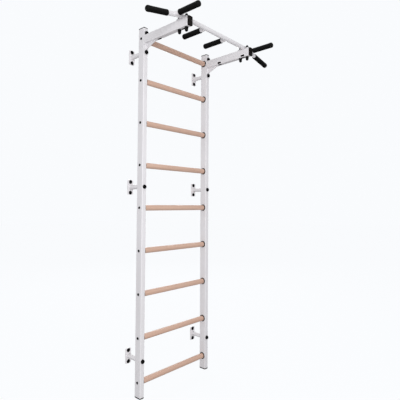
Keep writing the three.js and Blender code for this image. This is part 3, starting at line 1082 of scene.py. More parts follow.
@dataclass
class Uprights:
    """The two upright tubes with their end caps."""

    wall: float = 2.0 * MM
    corner: float = 5.0 * MM
    rung_clearance: float = 0.4 * MM
    screw_hole: float = 5.0 * MM
    bolt_hole: float = 10.8 * MM
    cap_round: float = 1.5 * MM
    cap_frame: float = 2.6 * MM
    cap_dish: float = 0.4 * MM
    cap_lip: float = 0.5 * MM
    top_cover: float = 1.2 * MM
    foot_cover: float = 2.8 * MM

    def build(self) -> None:
        """Build both uprights."""
        for side in Side:
            self.tube(side)
            for end in End:
                self.cap(side, end)

    @staticmethod
    def faces(side: Side) -> Span:
        """The x of an upright's inner and outer face."""
        low, high = box_of(f"{side.word}_upright")
        return (high.x, low.x) if side is Side.LEFT else (low.x, high.x)

    def tube(self, side: Side) -> None:
        """One upright with the holes for rungs, screws and bolts.

        Args:
            side: The upright's side.
        """
        node = f"{side.word}_upright"
        low, high = box_of(node)
        mid = (low + high) / 2.0
        obj = Bench.block(f"{side.word}_post", low, high, self.corner, Axis.Z, FINE_STEPS)
        Bench.hollow(obj, self.wall, Axis.Z)
        inner, outer = self.faces(side)
        reach = Vector((side.value * 2.0 * self.wall, 0.0, 0.0))
        cutters = []
        for number in range(1, Rungs.count + 1):
            rung_low, rung_high = box_of(f"rung_{number}")
            z = (rung_low.z + rung_high.z) / 2.0
            hole = rung_high.z - rung_low.z + 2.0 * self.rung_clearance
            spot = Vector((inner, mid.y, z))
            cutters.append(Bench.rod("hole", hole, spot - reach, spot + reach, RUNG_SIDES))
            spot = Vector((outer, mid.y, z))
            start, end = spot - reach, spot + reach
            cutters.append(Bench.rod("hole", self.screw_hole, start, end, SCREW_SIDES))
        depth = Vector((0.0, 2.0 * self.wall, 0.0))
        for level in Level:
            z = middle_of(f"{side.word}_{level.value}_bracket").z
            start = Vector((mid.x, low.y, z)) - depth
            end = Vector((mid.x, high.y, z)) + depth
            cutters.append(Bench.rod("hole", self.bolt_hole, start, end, HOLE_SIDES))
        front = Vector((mid.x, low.y, middle_of(f"{side.word}_arm_bolt").z))
        cutters.append(Bench.rod("hole", self.bolt_hole, front - depth, front + depth, HOLE_SIDES))
        Bench.cut(obj, cutters)
        hand_in(obj, WHITE, [node])

    def cap(self, side: Side, end: End) -> None:
        """One end cap: a lid, a skirt inside the tube and a thin lip round the tube.

        Args:
            side: The upright's side.
            end: The upright's end.
        """
        node = f"{side.word}_{end.word}_cap"
        low, high = box_of(node)
        tube_low, tube_high = box_of(f"{side.word}_upright")
        if end is End.TOP:
            seat, edge, skirt_end, cover = tube_high.z, high.z, low.z, self.top_cover
        else:
            seat, edge, skirt_end, cover = tube_low.z, low.z, high.z, self.foot_cover
        lid = self.layer("lid", node, 0.0, (seat, edge), FINE_STEPS)
        Bench.pick_edges(
            lid, lambda a, b: abs(a.z - edge) < TOUCHING and abs(b.z - edge) < TOUCHING)
        bpy.ops.mesh.bevel(offset=self.cap_round, segments=4, affect="EDGES")
        Bench.pick_faces(lid, lambda centre, normal: normal.z * end.value > PARALLEL)
        bpy.ops.mesh.inset(thickness=self.cap_frame)
        bpy.ops.transform.translate(value=(0.0, 0.0, -self.cap_dish * end.value))
        Bench.done()
        skirt = self.layer("skirt", node, -self.wall, (skirt_end, seat), PLUG_STEPS, PLAY)
        span = (seat - cover * end.value, seat + self.cap_lip * end.value)
        lip = self.layer("lip", node, self.cap_lip, span, FINE_STEPS)
        Bench.hollow(lip, self.cap_lip - GAP, Axis.Z)
        obj = Bench.join(f"{side.word}_{end.word}_plug", [lid, skirt, lip])
        hand_in(obj, CAP_GREY, [node])

    def layer(
        self, name: str, node: str, grow: float, span: Span, steps: int, play: float = 0.0
    ) -> bpy.types.Object:
        """A block with a cap's plan, between two heights.

        Args:
            name: Name of the block.
            node: The cap's solid.
            grow: How far the block stands out past the solid's plan.
            span: The two heights, in any order.
            steps: Steps round each corner.
            play: Air round the block, which leaves its corners as they are.

        Returns:
            The block.
        """
        low, high = box_of(node)
        past = Vector((grow - play, grow - play, 0.0))
        low, high = low - past, high + past
        low.z, high.z = min(span), max(span)
        return Bench.block(name, low, high, self.corner + grow, Axis.Z, steps)


@dataclass
class WallBrackets:
    """The wall plates with their round standoffs, wall bolts and through bolts."""

    plate_thickness: float = 5.0 * MM
    plate_corner: float = 6.0 * MM
    standoff_diameter: float = 25.0 * MM
    standoff_edge: float = 0.5 * MM
    weld_radius: float = 2.0 * MM
    weld_out: float = 0.5 * MM
    weld_rise: float = 0.4 * MM
    weld_points: int = 88
    wall_hole: float = 8.8 * MM

    def build(self) -> None:
        """Build the brackets and their bolts on both sides."""
        for side in Side:
            for level in Level:
                self.bracket(side, level)
        self.bolts()

    def bracket(self, side: Side, level: Level) -> None:
        """One bracket.

        Args:
            side: The bracket's side.
            level: Its height.
        """
        node = f"{side.word}_{level.value}_bracket"
        low, high = box_of(node)
        mid = (low + high) / 2.0
        plate_low = Vector((low.x, high.y - self.plate_thickness, low.z))
        plate = Bench.block("plate", plate_low, high, self.plate_corner, Axis.Y)
        holes = []
        for place in PlateBolt:
            bolt = middle_of(f"{side.word}_{level.value}_wall_bolt_{place.value}")
            front = Vector((bolt.x, plate_low.y - PAST, bolt.z))
            back = Vector((bolt.x, high.y + PAST, bolt.z))
            holes.append(Bench.rod("hole", self.wall_hole, front, back, HOLE_SIDES))
        Bench.cut(plate, holes)
        Bench.ease(plate, EDGE)
        start = Vector((mid.x, low.y, mid.z))
        foot = Vector((mid.x, plate_low.y + PAST, mid.z))
        standoff = Bench.rod("standoff", self.standoff_diameter, start, foot, FINE_SIDES)
        Bench.ease(standoff, self.standoff_edge)
        weld_middle = Vector((mid.x, plate_low.y - self.weld_rise, mid.z))
        bead = Bench.bead("bead", self.weld_path(weld_middle), self.weld_radius, closed=True)
        obj = Bench.join(f"{side.word}_{level.value}_wall_holder", [plate, standoff, bead])
        hand_in(obj, WHITE, [node])

    def weld_path(self, middle: Vector) -> list[Vector]:
        """The points of the weld round a standoff's foot.

        Args:
            middle: Middle of the weld.

        Returns:
            The points, all round.
        """
        ring = self.standoff_diameter / 2.0 + self.weld_out
        angles = [math.tau * step / self.weld_points for step in range(self.weld_points)]
        return [middle + Vector((ring * math.cos(a), 0.0, ring * math.sin(a))) for a in angles]

    def bolts(self) -> None:
        """All wall bolts, through bolts and arm bolts."""
        for side in Side:
            nodes = [(f"{side.word}_arm_bolt", THROUGH_BOLT)]
            for level in Level:
                stem = f"{side.word}_{level.value}"
                nodes.append((f"{stem}_bracket_bolt", THROUGH_BOLT))
                nodes += [(f"{stem}_wall_bolt_{place.value}", WALL_BOLT) for place in PlateBolt]
            for node, kind in nodes:
                low, high = box_of(node)
                mid = (low + high) / 2.0
                seat = low.y + kind.head_height
                model = kind.model(high.y - seat)
                spot = Vector((mid.x, seat, mid.z))
                obj = Bench.copy(model, f"{node}_head", spot, -Axis.Y.vector)
                Bench.discard(model)
                hand_in(obj, BLACK, [node], flat_faces=False)


@dataclass
class PullUpArms:
    """The two arms: tube, flange, gusset, welds, eyelets with a black edging that paints the shade
    round them, and end plugs.
    """

    width: float = 30.0 * MM
    height: float = 50.0 * MM
    wall: float = 2.0 * MM
    corner: float = 4.0 * MM
    flange_thickness: float = 4.0 * MM
    flange_corner: float = 5.0 * MM
    flange_overlap: float = 0.5 * MM
    arm_below_bolt: float = 13.0 * MM
    gusset_drop: float = 34.0 * MM
    gusset_reach: float = 91.0 * MM
    gusset_toe: float = 8.0 * MM
    gusset_thickness: float = 4.0 * MM
    weld_radius: float = 1.8 * MM
    weld_stop: float = 3.0 * MM
    bolt_hole: float = 10.8 * MM
    skin: float = 0.3 * MM
    eyelet_length: float = 26.0 * MM
    eyelet_width: float = 8.0 * MM
    eyelet_edge: float = 9.0 * MM
    eyelet_cut: float = 3.0 * MM
    rear_eyelet: float = 116.0 * MM
    edging_lip: float = 1.8 * MM
    edging_wall: float = 1.9 * MM
    edging_proud: float = 0.8 * MM
    edging_seat: float = 0.02 * MM
    edging_play: float = 0.1 * MM
    edging_overlap: float = 0.4 * MM
    edging_round: float = 0.3 * MM
    edging_cut: float = 4.0 * MM
    plug_lid: float = 3.0 * MM
    plug_round: float = 1.2 * MM
    plug_frame: float = 1.5 * MM
    plug_step: float = 0.7 * MM
    plug_lip: float = 0.6 * MM
    plug_lip_start: float = 1.4 * MM
    plug_cover: float = 9.0 * MM

    def build(self) -> None:
        """Build both arms."""
        for side in Side:
            self.arm(side)
            self.plug(side)

    def arm(self, side: Side) -> None:
        """One arm.

        Args:
            side: The arm's side.
        """
        node = f"{side.word}_arm"
        low, high = box_of(node)
        x = (low.x + high.x) / 2.0
        flange_front = high.y - self.flange_thickness
        top = middle_of(f"{side.word}_arm_bolt").z - self.arm_below_bolt
        bottom = top - self.height
        half = self.width / 2.0
        tube_low = Vector((x - half, low.y, bottom))
        tube_high = Vector((x + half, flange_front + self.flange_overlap, top))
        tube = Bench.block("tube", tube_low, tube_high, self.corner, Axis.Y)
        Bench.hollow(tube, self.wall, Axis.Y)
        Bench.cut(tube, self.openings(side, bottom, top))
        # Painted shade: a near-black skin inside the tube darkens what the eyelets show.
        self.bore(side, bottom, top)
        # Painted shade: the black edging darkens the rim of each eyelet.
        self.edging(side, bottom)
        flange_low = Vector((x - half, flange_front, low.z))
        flange_high = Vector((x + half, high.y, high.z))
        flange = Bench.block("flange", flange_low, flange_high, self.flange_corner, Axis.Y)
        Bench.ease(flange, EDGE)
        gusset = self.gusset(x, flange_front, bottom)
        beads = self.beads(x, flange_front, bottom, top)
        obj = Bench.join(f"{side.word}_bracket_arm", [tube, flange, gusset, *beads])
        hand_in(obj, WHITE, [node])

    def openings(self, side: Side, bottom: float, top: float) -> list[bpy.types.Object]:
        """Cutters for an arm's bolt holes and eyelets.

        Args:
            side: The arm's side.
            bottom: Underside of the arm.
            top: Top of the arm.

        Returns:
            The cutters.
        """
        x = middle_of(f"{side.word}_arm").x
        cutters = []
        for place in SaddleBolt:
            y = middle_of(f"{side.word}_bar_bolt_{place.value}").y
            foot, crown = Vector((x, y, bottom - PAST)), Vector((x, y, top + PAST))
            cutters.append(Bench.rod("hole", self.bolt_hole, foot, crown, HOLE_SIDES))
        for spot, wall in self.eyelets(side, bottom):
            cutters.append(self.slot("slot", spot, wall, 0.0, (-self.eyelet_cut, self.eyelet_cut)))
        return cutters

    def eyelets(self, side: Side, bottom: float) -> list[tuple[Vector, Vector]]:
        """The eyelets of an arm, in pairs at its lower inner edge.

        Args:
            side: The arm's side.
            bottom: Underside of the arm.

        Returns:
            The middle of each eyelet on the arm's face, and the way that the face looks.
        """
        low, high = box_of(f"{side.word}_arm")
        inward = Vector((-side.value, 0.0, 0.0))
        inner = (low.x + high.x) / 2.0 + inward.x * self.width / 2.0
        found = []
        for y in (high.y - self.rear_eyelet, self.bar_line(side)):
            found.append((Vector((inner, y, bottom + self.eyelet_edge)), inward))
            below = Vector((inner - inward.x * self.eyelet_edge, y, bottom))
            found.append((below, -Axis.Z.vector))
        return found

    def slot(
        self, name: str, spot: Vector, out: Vector, grow: float, span: Span
    ) -> bpy.types.Object:
        """A block with an eyelet's plan and round ends.

        Args:
            name: Name of the block.
            spot: Middle of the eyelet, on the arm's face.
            out: The way that the face looks.
            grow: How far the block stands out past the eyelet's plan.
            span: From where to where it runs, outwards from the face.

        Returns:
            The block.
        """
        in_side = abs(out.x) > PARALLEL
        across, axis = (Axis.Z, Axis.X) if in_side else (Axis.X, Axis.Z)
        half = self.eyelet_width / 2.0 + grow
        reach = Axis.Y.vector * (self.eyelet_length / 2.0 + grow) + across.vector * half
        ends = [spot + out * distance for distance in span]
        low = Vector(tuple(map(min, *ends))) - reach
        high = Vector(tuple(map(max, *ends))) + reach
        return Bench.block(name, low, high, half - GAP, axis, FINE_STEPS)

    def edging(self, side: Side, bottom: float) -> None:
        """The black edging that is pressed into an arm's eyelets: it paints the shade round each
        eyelet's rim.

        Args:
            side: The arm's side.
            bottom: Underside of the arm.
        """
        depth = self.wall + self.edging_proud
        rings = []
        for spot, out in self.eyelets(side, bottom):
            lip_span = (self.edging_seat, self.edging_proud)
            lip = self.slot("ring", spot, out, self.edging_lip, lip_span)
            sleeve_span = (-depth, self.edging_overlap)
            sleeve = self.slot("ring", spot, out, -self.edging_play, sleeve_span)
            Bench.ease(lip, self.edging_round)
            for ring in (lip, sleeve):
                span = (-self.edging_cut, self.edging_cut)
                Bench.cut(ring, [self.slot("hole", spot, out, -self.edging_wall, span)])
                rings.append(ring)
        obj = Bench.join(f"{side.word}_eyelet_edging", rings)
        # The edging's black stands in for the shade round each eyelet.
        hand_in(obj, PLUG_BLACK)

    def bore(self, side: Side, bottom: float, top: float) -> None:
        """A near-black skin on the tube's inner walls, which paints the shade inside an arm where
        the eyelets show it.

        Args:
            side: The arm's side.
            bottom: Underside of the arm.
            top: Top of the arm.
        """
        low, high = box_of(f"{side.word}_arm")
        plug_end = box_of(f"{side.word}_arm_plug")[1].y
        inset = self.wall + GAP
        skin_low = Vector((low.x + inset, plug_end + PAST, bottom + inset))
        skin_high = Vector((high.x - inset, high.y - self.flange_thickness - PAST, top - inset))
        name, corner = f"{side.word}_arm_bore", self.corner - inset
        obj = Bench.block(name, skin_low, skin_high, corner, Axis.Y, steps=4)
        Bench.hollow(obj, self.skin, Axis.Y)
        Bench.cut(obj, self.openings(side, bottom, top))
        # The skin's near-black colour is painted shade.
        hand_in(obj, BORE_SHADE)

    @staticmethod
    def bar_line(side: Side) -> float:
        """Distance of the bar from the wall, between its two bolts."""
        places = [middle_of(f"{side.word}_bar_bolt_{place.value}").y for place in SaddleBolt]
        return sum(places) / 2.0

    def gusset(self, x: float, flange_front: float, bottom: float) -> bpy.types.Object:
        """The triangular plate under an arm.

        Args:
            x: The arm's middle plane.
            flange_front: Front face of the flange.
            bottom: Underside of the arm.

        Returns:
            The plate.
        """
        face = x - self.gusset_thickness / 2.0
        low = bottom - self.gusset_drop
        tip = flange_front - self.gusset_reach
        corners = [
            (flange_front + PAST, bottom + PAST),
            (tip, bottom + PAST),
            (tip, bottom - self.wall),
            (flange_front - self.gusset_toe, low),
            (flange_front + PAST, low),
        ]
        outline = [Vector((face, y, z)) for y, z in corners]
        obj = Bench.plate("gusset", outline, Vector((self.gusset_thickness, 0.0, 0.0)))
        Bench.ease(obj, EDGE)
        return obj

    def beads(
        self, x: float, flange_front: float, bottom: float, top: float
    ) -> list[bpy.types.Object]:
        """The weld beads at the flange and along the gusset.

        Args:
            x: The arm's middle plane.
            flange_front: Front face of the flange.
            bottom: Underside of the arm.
            top: Top of the arm.

        Returns:
            The beads.
        """
        across = Vector((self.width / 2.0 - self.corner, 0.0, 0.0))
        paths = []
        for z in (top, bottom):
            middle = Vector((x, flange_front, z))
            paths.append((middle - across, middle + across))
        tip = flange_front - self.gusset_reach + self.weld_stop
        low = bottom - self.gusset_drop + self.weld_stop
        for face in (-self.gusset_thickness / 2.0, self.gusset_thickness / 2.0):
            root = Vector((x + face, flange_front, bottom))
            paths.append((root, Vector((x + face, tip, bottom))))
            paths.append((root, Vector((x + face, flange_front, low))))
        return [Bench.bead("bead", Bench.line(*ends), self.weld_radius) for ends in paths]

    def plug(self, side: Side) -> None:
        """The plug in the front end of an arm: a framed lid, a skirt and a lip round the tube.

        Args:
            side: The arm's side.
        """
        node = f"{side.word}_arm_plug"
        low, high = box_of(node)
        front = low.y
        lid_high = Vector((high.x, front + self.plug_lid, high.z))
        lid = Bench.block("lid", low, lid_high, self.corner, Axis.Y)
        Bench.pick_edges(
            lid, lambda a, b: abs(a.y - front) < TOUCHING and abs(b.y - front) < TOUCHING)
        bpy.ops.mesh.bevel(offset=self.plug_round, segments=4, affect="EDGES")
        Bench.pick_faces(lid, lambda centre, normal: normal.y < -PARALLEL)
        bpy.ops.mesh.inset(thickness=self.plug_frame)
        bpy.ops.mesh.inset(thickness=self.plug_step, depth=-self.plug_step)
        Bench.done()
        margin = Vector((self.wall + PLAY, 0.0, self.wall + PLAY))
        skirt_low, skirt_high = low + margin, high - margin
        skirt_low.y = front + self.plug_lid
        corner = self.corner - self.wall
        skirt = Bench.block("skirt", skirt_low, skirt_high, corner, Axis.Y, PLUG_STEPS)
        past = Vector((self.plug_lip, 0.0, self.plug_lip))
        lip_low, lip_high = low - past, high + past
        lip_low.y, lip_high.y = front + self.plug_lip_start, front + self.plug_cover
        lip = Bench.block("lip", lip_low, lip_high, self.corner + self.plug_lip, Axis.Y)
        Bench.hollow(lip, self.plug_lip - GAP, Axis.Y)
        obj = Bench.join(f"{side.word}_arm_stopper", [lid, skirt, lip])
        hand_in(obj, PLUG_BLACK, [node])


@dataclass
class DomedCap:
    """A cap on a bolt's end: a washer foot at zero, a hexagon and a domed crown."""

    crown_radius: float
    top: float
    bore: float = 5.4 * MM
    foot_radius: float = 10.75 * MM
    foot_height: float = 2.7 * MM
    foot_soft: float = 0.4 * MM
    foot_chamfer: Span = (0.55 * MM, 0.5 * MM)
    hexagon_radius: float = 10.4 * MM
    hexagon_height: float = 8.0 * MM
    hexagon_middle: float = 6.4 * MM
    hexagon_round: float = 0.7 * MM
    crown_foot: float = 9.0 * MM
    dome_share: float = 0.64

    def model(self) -> bpy.types.Object:
        """The cap, to copy."""
        wide, soft, high = self.foot_radius, self.foot_soft, self.foot_height
        across, down = self.foot_chamfer
        foot = Bench.turned("foot", [
            (self.bore, 0.0), (wide - soft, 0.0), (wide, soft), (wide, high - down),
            (wide - across, high), (self.bore, high), (self.bore, 0.0)], ROUND_SIDES)
        Bench.rest()
        bpy.ops.mesh.primitive_cylinder_add(
            vertices=6, radius=self.hexagon_radius, depth=self.hexagon_height,
            location=(0, 0, self.hexagon_middle))
        hexagon = Bench.named("hexagon")
        bpy.ops.object.transform_apply(location=True, rotation=True, scale=True)
        Bench.ease(hexagon, self.hexagon_round, segments=3)
        profile = [(0.0, self.crown_foot), (self.crown_radius, self.crown_foot)]
        profile += dome(self.crown_radius, self.dome_share * self.top, self.top, steps=10)
        crown = Bench.turned("crown", profile, ROUND_SIDES)
        return Bench.join("cap", [foot, hexagon, crown])


BOLT_CAP = DomedCap(crown_radius=7.6 * MM, top=19.5 * MM)
NUT_CAP = DomedCap(crown_radius=9.2 * MM, top=25.0 * MM)


@dataclass
class PullUpBar:
    """The bent bar with its handles, saddles, welds, grips, bolts and cap nuts."""

    diameter: float = 25.0 * MM
    height: float = 2116.8 * MM
    straight_half: float = 290.0 * MM
    bend: float = math.radians(12.0)
    bend_radius: float = 90.0 * MM
    bend_steps: int = 8
    front_handle_x: float = 338.0 * MM
    rear_handle_x: float = 95.0 * MM
    handle_play: float = 0.1 * MM
    front_start: float = 34.0 * MM
    rear_start: float = 36.0 * MM
    outer_start: float = 88.0 * MM
    grip_length: float = 142.0 * MM
    grip_diameter: float = 32.0 * MM
    grip_play: float = 0.4 * MM
    grip_end: float = 5.3 * MM
    grip_round: float = 9.0 * MM
    grip_flat: float = 0.25
    grip_dip: float = 0.5 * MM
    grip_tail: float = 20.0 * MM
    mouth_round: float = 2.5 * MM
    mouth_lip: float = 7.0 * MM
    saddle_thickness: float = 4.0 * MM
    saddle_length: float = 80.0 * MM
    saddle_corner: float = 6.0 * MM
    saddle_weld_half: float = 12.0 * MM
    weld_radius: float = 1.8 * MM
    handle_weld_points: int = 84
    handle_weld_out: float = 0.6 * MM
    handle_weld_swell: float = 1.02
    bolt_hole: float = 10.8 * MM
    bolt_diameter: float = 10.0 * MM
    bolt_head: float = 10.0 * MM
    bolt_soft: float = 0.4 * MM
    bolt_in_cap: float = 3.0 * MM

    @property
    def line_y(self) -> float:
        """Distance of the bar from the wall."""
        return PullUpArms.bar_line(Side.LEFT)

    def bend_end(self, side: Side) -> Vector:
        """Where the bend ends and the sloping end starts."""
        return Vector((
            side.value * (self.straight_half + self.bend_radius * math.sin(self.bend)),
            self.line_y,
            self.height - self.bend_radius * (1.0 - math.cos(self.bend)),
        ))

    def slope(self, side: Side) -> Vector:
        """Direction of a sloping end, outwards."""
        return Vector((side.value * math.cos(self.bend), 0.0, -math.sin(self.bend)))

    def handles(self) -> list[tuple[str, Vector, Vector, float]]:
        """Name, root, direction and grip start of each handle and bar end."""
        table = []
        for side in Side:
            corner = self.bend_end(side)
            drop = (self.front_handle_x - abs(corner.x)) * math.tan(self.bend)
            front = Vector((side.value * self.front_handle_x, self.line_y, corner.z - drop))
            rear = Vector((side.value * self.rear_handle_x, self.line_y, self.height))
            table.append((f"{side.word}_front_grip", front, -Axis.Y.vector, self.front_start))
            table.append((f"{side.word}_rear_grip", rear, Axis.Y.vector, self.rear_start))
            table.append((f"{side.word}_outer_grip", corner, self.slope(side), self.outer_start))
        return table

    def build(self) -> None:
        """Build the bar, the grips and the fasteners."""
        self.bar()
        self.grips()
        self.fasteners()

    def main_tube(self) -> bpy.types.Object:
        """The bar itself: drawn out from the middle, bent down and drawn out to its end."""
        Bench.rest()
        bpy.ops.mesh.primitive_circle_add(
            vertices=ROUND_SIDES, radius=self.diameter / 2.0,
            location=(0.0, self.line_y, self.height), rotation=(0.0, QUARTER, 0.0))
        obj = Bench.named("tube")
        bpy.ops.object.transform_apply(location=True, rotation=True, scale=True)
        bpy.ops.object.mode_set(mode="EDIT")
        bpy.ops.mesh.select_mode(type="VERT")
        bpy.ops.mesh.select_all(action="SELECT")
        bpy.ops.mesh.extrude_region_move(
            TRANSFORM_OT_translate={"value": (self.straight_half, 0.0, 0.0)})
        bpy.ops.mesh.spin(
            steps=self.bend_steps, angle=-self.bend, axis=Axis.Y.value,
            center=(self.straight_half, self.line_y, self.height - self.bend_radius))
        end = self.outer_start + self.grip_length - self.grip_end
        bpy.ops.mesh.extrude_region_move(
            TRANSFORM_OT_translate={"value": self.slope(Side.RIGHT) * end})
        bpy.ops.mesh.edge_face_add()
        Bench.done()
        Bench.apply(obj, "MIRROR", use_axis=(True, False, False), merge_threshold=10.0 * TOUCHING)
        Bench.tidy_mesh(obj)
        return obj

    def saddle(self, side: Side) -> bpy.types.Object:
        """The plate under the bar that is bolted to an arm.

        Args:
            side: The arm's side.

        Returns:
            The plate with its two holes.
        """
        arm_low, arm_high = box_of(f"{side.word}_arm")
        x, half = (arm_low.x + arm_high.x) / 2.0, (arm_high.x - arm_low.x) / 2.0
        seat, long_half = self.height - self.diameter / 2.0, self.saddle_length / 2.0
        low = Vector((x - half, self.line_y - long_half, seat))
        high = Vector((x + half, self.line_y + long_half, seat + self.saddle_thickness))
        obj = Bench.block("saddle", low, high, self.saddle_corner, Axis.Z)
        holes = []
        for place in SaddleBolt:
            y = middle_of(f"{side.word}_bar_bolt_{place.value}").y
            foot, crown = Vector((x, y, low.z - PAST)), Vector((x, y, high.z + PAST))
            holes.append(Bench.rod("hole", self.bolt_hole, foot, crown, HOLE_SIDES))
        Bench.cut(obj, holes)
        Bench.ease(obj, EDGE)
        return obj

    def saddle_beads(self, side: Side) -> list[bpy.types.Object]:
        """The two weld beads between the bar and a saddle."""
        x = middle_of(f"{side.word}_arm").x
        rise = self.diameter / 2.0 - self.saddle_thickness
        out = math.sqrt((self.diameter / 2.0) ** 2 - rise ** 2)
        across = Vector((self.saddle_weld_half, 0.0, 0.0))
        beads = []
        for face in (-out, out):
            middle = Vector((x, self.line_y + face, self.height - rise))
            path = Bench.line(middle - across, middle + across)
            beads.append(Bench.bead("bead", path, self.weld_radius))
        return beads

    def handle_bead(self, root: Vector, direction: Vector) -> bpy.types.Object:
        """The weld round the foot of a handle, where the two tubes meet.

        Args:
            root: Where the handle starts, on the bar's centre line.
            direction: The handle's direction.

        Returns:
            The bead.
        """
        radius = self.diameter / 2.0
        path = []
        for step in range(self.handle_weld_points):
            angle = math.tau * step / self.handle_weld_points
            along = direction * (radius * abs(math.cos(angle)) + self.handle_weld_out)
            around = Vector((radius * math.cos(angle), 0.0, radius * math.sin(angle)))
            path.append(root + along + around * self.handle_weld_swell)
        return Bench.bead("bead", path, self.weld_radius, closed=True)

    def bar(self) -> None:
        """The bar with its handles, saddles and welds."""
        parts = [self.main_tube()]
        for name, root, direction, start in self.handles():
            if name.endswith("outer_grip"):
                continue
            end = root + direction * (start + self.grip_length - self.grip_end)
            tube = self.diameter - self.handle_play
            parts.append(Bench.rod("handle", tube, root, end, ROUND_SIDES))
            parts.append(self.handle_bead(root, direction))
        for side in Side:
            parts.append(self.saddle(side))
            parts += self.saddle_beads(side)
        obj = Bench.join("bent_bar", parts)
        hand_in(obj, WHITE, ["pull_up_bar"])

    def grip_model(self) -> bpy.types.Object:
        """A grip with a lip at its mouth and a round closed end: its mouth is at zero."""
        bore = self.diameter / 2.0 + self.grip_play
        radius, length = self.grip_diameter / 2.0, self.grip_length
        deep = length - self.grip_end + PLAY
        profile = [(0.0, deep), (bore, deep), (bore, 0.0)]
        mouth = shoulder(radius, 0.0, self.mouth_round, steps=5)
        profile += [(across, -down) for across, down in reversed(mouth)]
        dip, tail = self.grip_dip, length - self.grip_tail
        profile += [(radius, self.mouth_lip), (radius - dip, self.mouth_lip + dip),
                    (radius - dip, tail), (radius, tail + dip)]
        profile += shoulder(radius, length, self.grip_round, FINE_STEPS)
        profile += [(radius * self.grip_flat, length), (0.0, length)]
        return Bench.turned("grip", profile, FINE_SIDES)

    def grips(self) -> None:
        """The six grips."""
        model = self.grip_model()
        for name, root, direction, start in self.handles():
            obj = Bench.copy(model, f"{name}_sleeve", root + direction * start, direction)
            hand_in(obj, RUBBER, [name], flat_faces=False)
        Bench.discard(model)

    def bolt_model(self, length: float) -> bpy.types.Object:
        """A bar bolt: the seat of its capped head is at zero and its shank runs down.

        Args:
            length: Length of the shank.

        Returns:
            The bolt, to copy.
        """
        head = BOLT_CAP.model()
        foot, crown = Vector((0.0, 0.0, -length)), Vector((0.0, 0.0, self.bolt_in_cap))
        shank = Bench.rod("shank", self.bolt_diameter, foot, crown, HOLE_SIDES)
        Bench.ease(shank, self.bolt_soft)
        return Bench.join("bolt", [head, shank])

    def fasteners(self) -> None:
        """The bar bolts and their cap nuts."""
        low, high = box_of("left_bar_bolt_front")
        bolt = self.bolt_model(high.z - self.bolt_head - low.z)
        nut = NUT_CAP.model()
        for side in Side:
            for place in SaddleBolt:
                node = f"{side.word}_bar_bolt_{place.value}"
                low, high = box_of(node)
                mid = (low + high) / 2.0
                seat = Vector((mid.x, mid.y, high.z - self.bolt_head))
                obj = Bench.copy(bolt, f"{node}_head", seat, Axis.Z.vector)
                hand_in(obj, BLACK, [node])
                node = f"{side.word}_bar_nut_{place.value}"
                seat = Vector((mid.x, mid.y, box_of(node)[1].z))
                obj = Bench.copy(nut, f"{node}_cap", seat, -Axis.Z.vector)
                hand_in(obj, BLACK, [node])
        Bench.discard(bolt)
        Bench.discard(nut)


# Picture


@dataclass(frozen=True)
class Lamp:
    """A soft square lamp."""

    name: str
    place: Triple
    size: float
    power: float


LAMPS = (
    Lamp("front_lamp", (-2.2, -2.7, 1.7), 1.6, 66.0),
    Lamp("top_lamp", (0.6, -1.2, 5.2), 3.0, 5.0),
    Lamp("back_lamp", (2.6, 2.8, 3.0), 2.0, 50.0),
)


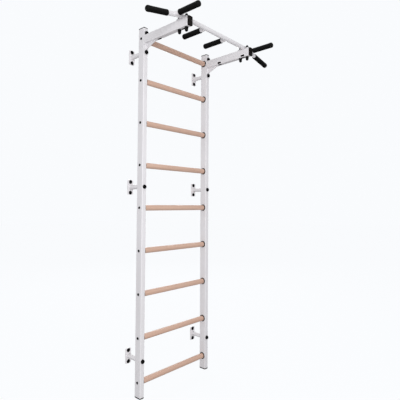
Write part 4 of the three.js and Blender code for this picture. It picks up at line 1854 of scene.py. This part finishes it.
@dataclass
class Studio:
    """The camera at the photograph's place, the floor and the lights."""

    camera_place: Triple = (-1.7357, -1.8911, 1.1093)
    yaw: float = math.radians(47.854)
    pitch: float = math.radians(2.294)
    roll: float = math.radians(0.305)
    focal: float = 35.0
    film_width: float = 36.0
    shift_y: float = -0.0278
    view_end: float = 200.0
    floor_size: float = 40.0
    floor_tone: Triple = (0.965, 0.98, 1.0)
    floor_glow: float = 0.952
    floor_seen: Triple = (0.05, 0.05, 0.05)
    floor_lit: Triple = (0.6, 0.6, 0.608)
    sky_tone: Triple = (0.985, 0.985, 1.0)
    sky: float = 0.592
    backdrop_tone: Triple = (0.95, 0.965, 0.985)
    lamp_target: Triple = (0.0, -0.2, 1.2)

    def build(self) -> None:
        """Set up the whole studio."""
        self.camera()
        self.floor()
        self.world()
        self.lights()

    def camera(self) -> None:
        """Place the camera."""
        forward = Vector((math.sin(self.yaw) * math.cos(self.pitch),
                          math.cos(self.yaw) * math.cos(self.pitch), math.sin(self.pitch)))
        right = forward.cross(Axis.Z.vector).normalized()
        up = right.cross(forward)
        tilted_right = right * math.cos(self.roll) + up * math.sin(self.roll)
        tilted_up = up * math.cos(self.roll) - right * math.sin(self.roll)
        turn = Matrix((tilted_right, tilted_up, -forward)).transposed().to_4x4()
        Bench.rest()
        bpy.ops.object.camera_add()
        camera = bpy.context.object
        camera.name = "camera"
        camera.matrix_world = Matrix.Translation(self.camera_place) @ turn
        camera.data.sensor_width = self.film_width
        camera.data.lens = self.focal
        camera.data.shift_y = self.shift_y
        camera.data.clip_end = self.view_end
        bpy.context.scene.camera = camera

    def floor(self) -> None:
        """A pale floor that runs into the backdrop."""
        Bench.rest()
        bpy.ops.mesh.primitive_plane_add(size=self.floor_size)
        floor = Bench.named("floor")
        board = Board("pale_floor")
        path = board.add("LightPath")
        board.paint(board.tint(path.outputs["Is Diffuse Ray"], self.floor_seen, self.floor_lit))
        board.shader.inputs["Roughness"].default_value = 1.0
        board.sheen(0.0)
        board.shader.inputs["Emission Color"].default_value = (*self.floor_tone, 1.0)
        glow = board.spread(path.outputs["Is Camera Ray"], 0.0, self.floor_glow, 0.0, 1.0)
        board.link(glow, board.shader.inputs["Emission Strength"])
        floor.data.materials.append(board.material)

    def world(self) -> None:
        """Even pale light from all round, in front of a near-white backdrop."""
        scene = bpy.context.scene
        scene.world = bpy.data.worlds.new("studio")
        scene.world.use_nodes = True
        tree = scene.world.node_tree
        light = tree.nodes["Background"]
        light.inputs["Color"].default_value = (*self.sky_tone, 1.0)
        light.inputs["Strength"].default_value = self.sky
        path = tree.nodes.new("ShaderNodeLightPath")
        backdrop = tree.nodes.new("ShaderNodeBackground")
        backdrop.inputs["Color"].default_value = (*self.backdrop_tone, 1.0)
        mix = tree.nodes.new("ShaderNodeMixShader")
        share, first, second = mix.inputs
        tree.links.new(path.outputs["Is Camera Ray"], share)
        tree.links.new(light.outputs["Background"], first)
        tree.links.new(backdrop.outputs["Background"], second)
        tree.links.new(mix.outputs["Shader"], tree.nodes["World Output"].inputs["Surface"])
        scene.view_settings.view_transform = "Standard"

    def lights(self) -> None:
        """Soft lamps in front, above and behind."""
        for lamp in LAMPS:
            Bench.rest()
            bpy.ops.object.light_add(type="AREA", location=lamp.place)
            obj = bpy.context.object
            obj.name = lamp.name
            obj.data.size = lamp.size
            obj.data.energy = lamp.power
            aim = Vector(self.lamp_target) - Vector(lamp.place)
            obj.rotation_euler = aim.to_track_quat("-Z", "Y").to_euler()


def main() -> None:
    """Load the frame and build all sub-assemblies."""
    logging.basicConfig(level=logging.INFO, format="%(name)s: %(message)s")
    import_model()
    Studio().build()
    Rungs().build()
    Uprights().build()
    WallBrackets().build()
    PullUpArms().build()
    PullUpBar().build()


if __name__ == "__main__":
    main()
